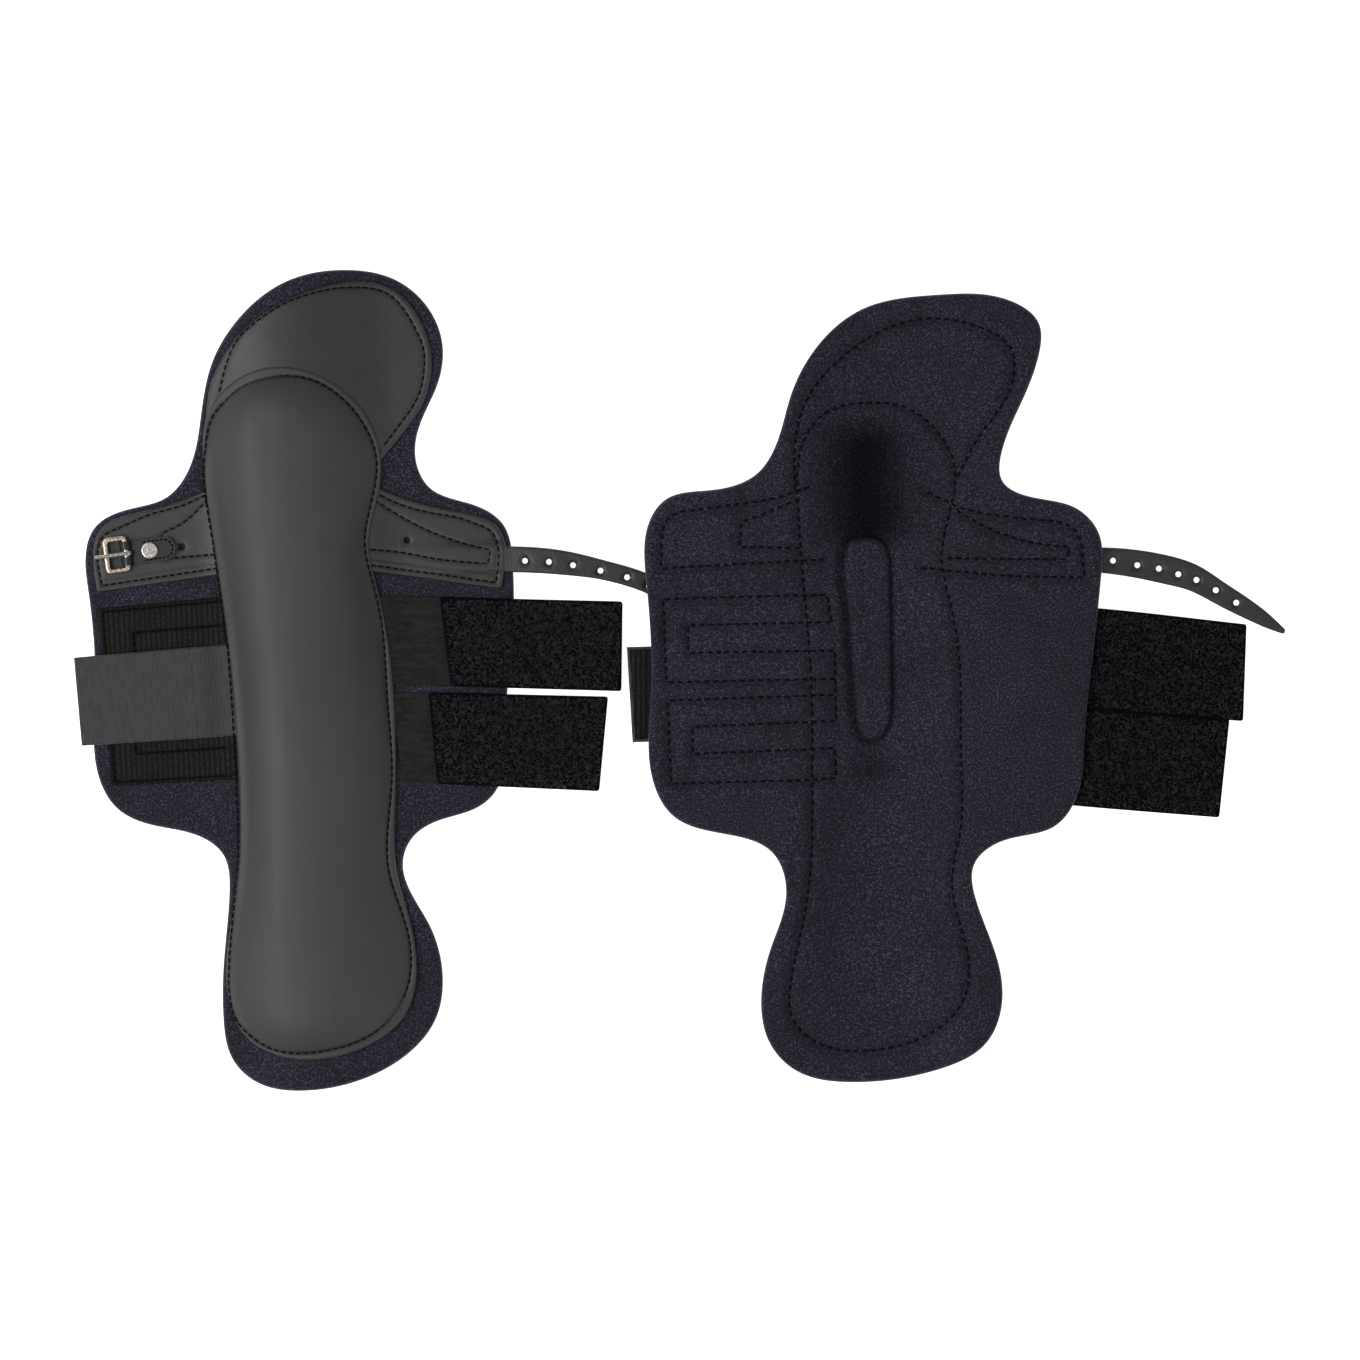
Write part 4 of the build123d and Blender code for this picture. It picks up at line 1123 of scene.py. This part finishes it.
def build_hooks(boot, seams):
    """Ribbed hook fields on the buckle wing, with their stitches."""
    for row in ("upper", "lower"):
        loop = even(np.array(boot.plan[f"hook_{row}"], float), 1.0, smooth=1)

        def height(q):
            ribs = 0.16 * np.sin(q[:, 0] * 2 * math.pi / HOOK_RIB)
            return boot.outer(HOOK - 0.1)(q) + ribs - grooves(q, seams["comb"], 0.25, 0.6)

        field = boot.plate(f"hook_field_{row}", loop, boot.outer(GLUE), height, MATERIALS["hook"],
                           "hook_tape", edge=0.5, pitch=1.0, lines=seams["comb"])
        boot.bend(field, "buckle_wing_wrap", "core", "buckle_wing")
        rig.replaces(field, f"{boot.side}_hook_{row}")
        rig.sheet(field, held="laid", rests_on=boot.liners, **cut_of(loop))
    clear = [line[line[:, 0] < -36] for line in seams["comb"]]
    clear = [line for line in clear if len(line) > 3]
    stitches(boot, "hook_thread", clear, boot.outer(HOOK - 0.1), 1, "buckle_wing")


def build_band(boot):
    """The over-band: sewn under the edge of the pad, lying over the hook fields, free beyond the fold."""
    corners = np.array(boot.plan["band"], float)
    point, along = boot.hinge("buckle_wing_wrap")
    normal = np.array([-along[1], along[0]])
    if normal[0] > 0:
        normal = -normal
    along = along if along[1] > 0 else -along
    cut = [point + normal * BEND_END + along * k for k in (60, -60)]
    high_cut = line_cross(corners[0], corners[1], *cut)
    low_cut = line_cross(corners[3], corners[2], *cut)

    def rise(q):
        return smooth_step((-36 - q[:, 0]) / 10)

    def web(lift):
        return lambda q: boot.outer()(q) + 0.1 + rise(q) * (BAND_LOW + HOOK - LINER) + lift

    root = even(np.array([high_cut, corners[1], corners[2], low_cut]), 1.0)
    free = even(np.array([corners[0], high_cut, low_cut, corners[3]]), 1.0)
    pieces = []
    for name, loop in (("root", root), ("free", free)):
        plan, tris = triangulate(loop, 1.9)
        verts, faces = shell_open(plan, tris, distance(plan, corners, True), web(0)(plan),
                                  web(WEB)(plan), 0.5)
        pieces.append(boot.piece(f"band_{name}", verts, faces, MATERIALS["web"], "webbing"))
    boot.bend(pieces[0], "buckle_wing_wrap", "core", "buckle_wing")
    boot.bend(pieces[1], "over_band_peel", "buckle_wing", "over_band", **PEEL)
    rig.replaces(pieces[0], f"{boot.side}_band_anchor")
    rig.replaces(pieces[1], f"{boot.side}_band_web", f"{boot.side}_band_hooks")
    inner = even(np.array([corners[0] + (1.2, -1.2), high_cut + (-2.5, -1.2), low_cut + (-2.5, 1.2),
                           corners[3] + (1.2, 1.2)]), 1.0)
    hooks = boot.plate("band_hook_layer", inner, web(-HOOK + 0.1), web(0.2), MATERIALS["hook"],
                       "hook_tape", edge=0.3, pitch=2.0)
    boot.bend(hooks, "over_band_peel", "buckle_wing", "over_band", **PEEL)
    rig.sheet(pieces[0], held="laid", rests_on=boot.liners, **cut_of(root))
    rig.sheet(pieces[1], held="laid", rests_on=boot.liners, with_pieces=[hooks], **cut_of(free))


def line_cross(a, b, c, d):
    """Where line ab meets line cd."""
    r, s = b - a, d - c
    t = ((c - a)[0] * s[1] - (c - a)[1] * s[0]) / (r[0] * s[1] - r[1] * s[0])
    return a + r * t


def shell_open(plan, tris, d, bottom, top, edge):
    """A closed plate with a rounded rim, and flat ends where the plan stops short of it."""
    middle = (bottom + top) / 2
    t = np.clip(d / edge, 0, 1)
    bulge = np.sqrt(1 - (1 - t) ** 2)
    n = len(plan)
    verts = np.vstack([np.column_stack([plan, middle + (top - middle) * bulge]),
                       np.column_stack([plan, middle + (bottom - middle) * bulge])])
    rim = d < 1e-3
    under = np.arange(n) + n
    under[rim] = np.arange(n)[rim]
    faces = [tuple(f) for f in tris] + [tuple(under[f][::-1]) for f in tris]
    for a, b in open_edges(tris):
        wall = tuple(dict.fromkeys((a, int(under[a]), int(under[b]), b)))
        if len(wall) > 2:
            faces.append(wall)
    used, faces = compact(faces)
    return verts[used], faces


def strap_loop(boot, row, start, stop):
    """The closed plan of a strap between two shares of its length."""
    top, low = (curve(line, 1.0) for line in boot.plan[f"strap_{row}"])
    top = top[int(start * (len(top) - 1)):int(stop * (len(top) - 1)) + 1]
    low = low[int(start * (len(low) - 1)):int(stop * (len(low) - 1)) + 1]
    return top, low


def build_straps(boot):
    """Closing straps: an elastic root sewn on the wing and a brushed loop strap."""
    for row, share in zip(("upper", "lower"), boot.plan["loop_from"]):
        top, low = strap_loop(boot, row, 0, share + 0.03)
        loop = even(np.vstack([top, low[::-1]]), 1.0, smooth=1)
        root = boot.plate(f"elastic_root_{row}", loop, boot.outer(GLUE), boot.outer(WEB),
                          MATERIALS["elastic"], "elastic", edge=0.6)
        boot.bend(root, "strap_wing_wrap", "core", "strap_wing")
        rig.replaces(root, f"{boot.side}_elastic_{row}")
        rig.sheet(root, held="laid", rests_on=boot.liners, **cut_of(loop))
        top, low = strap_loop(boot, row, share, 1)
        loop = even(np.vstack([top, low[::-1]]), 1.0, smooth=1)

        def high(q):
            return boot.outer(STRAP - 0.5)(q) + 0.12 * waves(q, 9, 5)

        def under(q):
            return boot.outer(0.03)(q) + smooth_step((90 - q[:, 0]) / 6) * 0.1

        strap = boot.plate(f"loop_strap_{row}", loop, under, high, MATERIALS["pile"], "loop_pile",
                           edge=0.7)
        hinge = f"{row}_strap_fold"
        boot.bend(strap, hinge, "strap_wing", f"{row}_strap", **FOLD)
        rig.replaces(strap, f"{boot.side}_pile_{row}", f"{boot.side}_tip_web_{row}",
                    f"{boot.side}_tip_pile_{row}")
        standing = []
        faces = [(f"fibres_{row}", high, 1, FIBRES_UNDER if boot.over else FIBRES)]
        if boot.over:
            faces.append((f"fibres_{row}_inner", under, -1, FIBRES))
        for name, ground, face, count in faces:
            fibres = fibre_piece(boot, name, loop, ground, face, count)
            standing.append(boot.bend(fibres, hinge, "strap_wing", f"{row}_strap", **FOLD))
        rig.sheet(strap, held="laid", rests_on=boot.liners, with_pieces=standing, **cut_of(loop))


def fibre_piece(boot, name, loop, height, face, count):
    """Curled nylon loops standing on a strap."""
    rng = random.Random(f"{boot.side}{name}")
    low, high = loop.min(0), loop.max(0)
    places = []
    while len(places) < count:
        batch = np.array([(rng.uniform(low[0], high[0]), rng.uniform(low[1], high[1])) for _ in range(count)])
        batch = batch[inside(batch, loop)]
        batch = batch[distance(batch, loop, True) > 1.3]
        places.extend(batch.tolist())
    places = np.array(places[:count])
    ground = height(places)
    verts, faces = [], []
    for (x, y), z in zip(places, ground):
        turn, size = rng.uniform(0, 2 * math.pi), rng.uniform(0.6, 1.3)
        lean, tall = rng.uniform(-0.7, 0.7), rng.uniform(0.35, 0.95)
        c, s = math.cos(turn), math.sin(turn)
        first = len(verts)
        for k in range(5):
            a = math.pi * k / 4
            u, v = -size * math.cos(a) * 0.8, lean * math.sin(a)
            w = tall * math.sin(a) * 1.15 - 0.05
            px, py = x + u * c - v * s, y + u * s + v * c
            r = 0.17 if k in (1, 2, 3) else 0.12
            tx, ty = -s, c
            verts.append((px + tx * r, py + ty * r, z + face * (w - r * 0.5)))
            verts.append((px - tx * r, py - ty * r, z + face * (w - r * 0.5)))
            verts.append((px, py, z + face * (w + r)))
        for k in range(4):
            for i in range(3):
                a, b = first + 3 * k + i, first + 3 * k + (i + 1) % 3
                quad = (a, a + 3, b + 3, b)
                faces.append(quad if face > 0 else quad[::-1])
        caps = ((first, first + 1, first + 2), (first + 14, first + 13, first + 12))
        faces.extend(caps if face > 0 else [cap[::-1] for cap in caps])
    return boot.piece(name, np.array(verts), faces, MATERIALS["fibre"], "loop_pile")


def build_billet(boot):
    """The leather billet, from under its patch to the pointed tip, with seven holes."""
    top, low = curve(boot.plan["billet_top"], 0.9), curve(boot.plan["billet_low"], 0.9)
    loop = even(np.vstack([top, low[::-1]]), 0.8, smooth=2)

    def level(q):
        return boot.outer(0.4)(q) + 1.1 * smooth_step((q[:, 0] - 90) / 14) + (
            0.45 * np.sin((q[:, 0] - 92) / 13.0) * smooth_step((q[:, 0] - 100) / 15))

    def crown(q):
        return level(q) + 2.1 + 0.1 * waves(q, 6, 2)

    holes = [(*eye, EYE_R) for eye in boot.plan["eyes"]]
    billet = boot.plate("billet_leather", loop, level, crown, MATERIALS["leather"], "leather",
                        edge=0.8, pitch=1.8, holes=holes)
    boot.bend(billet, "billet_bend", "strap_wing", "billet", before=1.0, after=10, lobes=False)
    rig.replaces(billet, f"{boot.side}_billet")


def build_bar(boot):
    """The padded bar that protects the tendons, raised on the lining."""
    loop = even(curve(boot.plan["bar"], closed=True), 1.0)

    def face(q):
        d = distance(q, loop, True)
        t = np.clip(d / BAR_SHOULDER, 0, 1)
        return arch(q[:, 0]) - BAR_HEIGHT * np.sqrt(1 - (1 - t) ** 2) - 0.1 + 0.12 * waves(q, 14, 4)

    bar = boot.plate("tendon_pad", loop, face, lambda q: arch(q[:, 0]) + 1.2, MATERIALS["neoprene"],
                     "lining_pad", edge=0.7, pitch=1.8)
    # painted shade about the foot of the bar, where it meets the lining
    boot.mark(bar, 0.85 * np.exp(-(distance(boot.local(points_of(bar))[:, :2], loop, True) / 1.1) ** 2))
    boot.ride(bar, "core")
    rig.replaces(bar, f"{boot.side}_tendon_bar")
    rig.padded(bar, fill=0.8)


def build_metal(boot):
    """Buckle frame, tongue, rivet and chape keep their CAD shapes and get their finishes."""
    for node, material, slot in (("buckle_frame", "brass", "nickel"), ("buckle_tongue", "nickel", "nickel"),
                                 ("chape_rivet", "nickel", "nickel"), ("buckle_chape", "chape", "leather")):
        obj = frame["nodes"][f"{boot.side}_{node}"]
        obj.data.materials.clear()
        obj.data.materials.append(MATERIALS[material])
        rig.slot(obj, slot)
    x, y, turn = boot.plan["chape_end"]
    along = np.array([math.cos(math.radians(turn)), math.sin(math.radians(turn))])
    across = np.array([-along[1], along[0]])
    arc = [np.array([x, y]) + CHAPE_ARC * (math.cos(a) * along + math.sin(a) * across)
           for a in np.linspace(-math.pi / 2, math.pi / 2, 25)]
    line = np.array([arc[0] - 9 * along, *arc, arc[-1] - 9 * along])
    stitches(boot, "chape_thread", [line], boot.outer(PATCH + CHAPE_TOP), 1, "buckle_wing",
             pitch=CHAPE_STITCH)


def build(side, floor):
    """Everything of one boot."""
    boot = Boot(side)
    seams = seams_of(boot)
    halves, lining = build_liner(boot, seams)
    pad = build_pad(boot, seams)
    build_patches(boot, seams)
    build_hooks(boot, seams)
    build_band(boot)
    build_straps(boot)
    build_billet(boot)
    build_bar(boot)
    build_metal(boot)
    if boot.over:
        for name, lines, fold in (("pad", seams["pad"] + seams["top"], None),
                                  ("buckle", seams["buckle"] + seams["comb"], "buckle_wing"),
                                  ("billet", seams["billet"], "strap_wing")):
            stitches(boot, f"lining_{name}_thread", lines, lining, -1, fold, pitch=LINING_STITCH)
    for name, (half, size, area) in halves.items():
        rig.sheet(half, flat=(float(size[0]), float(size[1])), held="laid", area=area,
                 rests_on=[pad.name if boot.over else floor.name])


# ---- studio ---------------------------------------------------------------------------------------
def studio():
    """A white floor, two soft lights, a white room and a camera straight above."""
    scene = bpy.context.scene
    mesh = bpy.data.meshes.new("studio_floor")
    corners = [(x * FLOOR_HALF, y * FLOOR_HALF, FLOOR) for x, y in ((-1, -1), (1, -1), (1, 1), (-1, 1))]
    mesh.from_pydata(corners, [], [(0, 1, 2, 3)])
    floor = bpy.data.objects.new("studio_floor", mesh)
    scene.collection.objects.link(floor)
    material = bpy.data.materials.new("white_sweep")
    material.use_nodes = True
    nodes = material.node_tree.nodes
    shader = nodes["Principled BSDF"]
    shader.inputs["Base Color"].default_value = (0.9, 0.9, 0.9, 1)
    shader.inputs["Roughness"].default_value = 0.9
    shader.inputs["Emission Color"].default_value = (1, 1, 1, 1)
    shader.inputs["Emission Strength"].default_value = 0.9
    mesh.materials.append(material)
    lights = []
    for name, place, size, power, tint in (("key", (-0.85, -0.12, 1.05), 0.9, 14.5, (1, 1, 1)),
                                           ("fill", (1.0, -0.5, 1.3), 1.4, 8, (0.97, 0.98, 1))):
        data = bpy.data.lights.new(name, "AREA")
        data.shape, data.size, data.energy, data.color = "SQUARE", size, power, tint
        light = bpy.data.objects.new(name, data)
        light.location = place
        light.rotation_euler = (-Vector(place)).to_track_quat("-Z", "Y").to_euler()
        scene.collection.objects.link(light)
        lights.append(light)
    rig.stage(floor, *lights)
    world = bpy.data.worlds.new("white_room")
    world.use_nodes = True
    world.node_tree.nodes["Background"].inputs["Color"].default_value = (1, 1, 1, 1)
    world.node_tree.nodes["Background"].inputs["Strength"].default_value = 0.3
    scene.world = world
    camera = bpy.data.cameras.new("camera")
    camera.lens_unit, camera.sensor_width = "MILLIMETERS", SENSOR
    camera.lens = SENSOR * (CAMERA_HEIGHT - VIEW_LEVEL) / VIEW_WIDTH
    camera.clip_end = 60
    eye = bpy.data.objects.new("camera", camera)
    eye.location = (0, 0, CAMERA_HEIGHT)
    scene.collection.objects.link(eye)
    scene.camera = eye
    scene.view_settings.view_transform = "Standard"
    scene.view_settings.look = "None"
    return floor


floor = studio()
for side in ("left", "right"):
    build(side, floor)

scene_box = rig.bounds()
with open("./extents.json", "w") as out:
    json.dump({"cad": [list(c) for c in cad_box], "scene": [list(c) for c in scene_box]}, out)
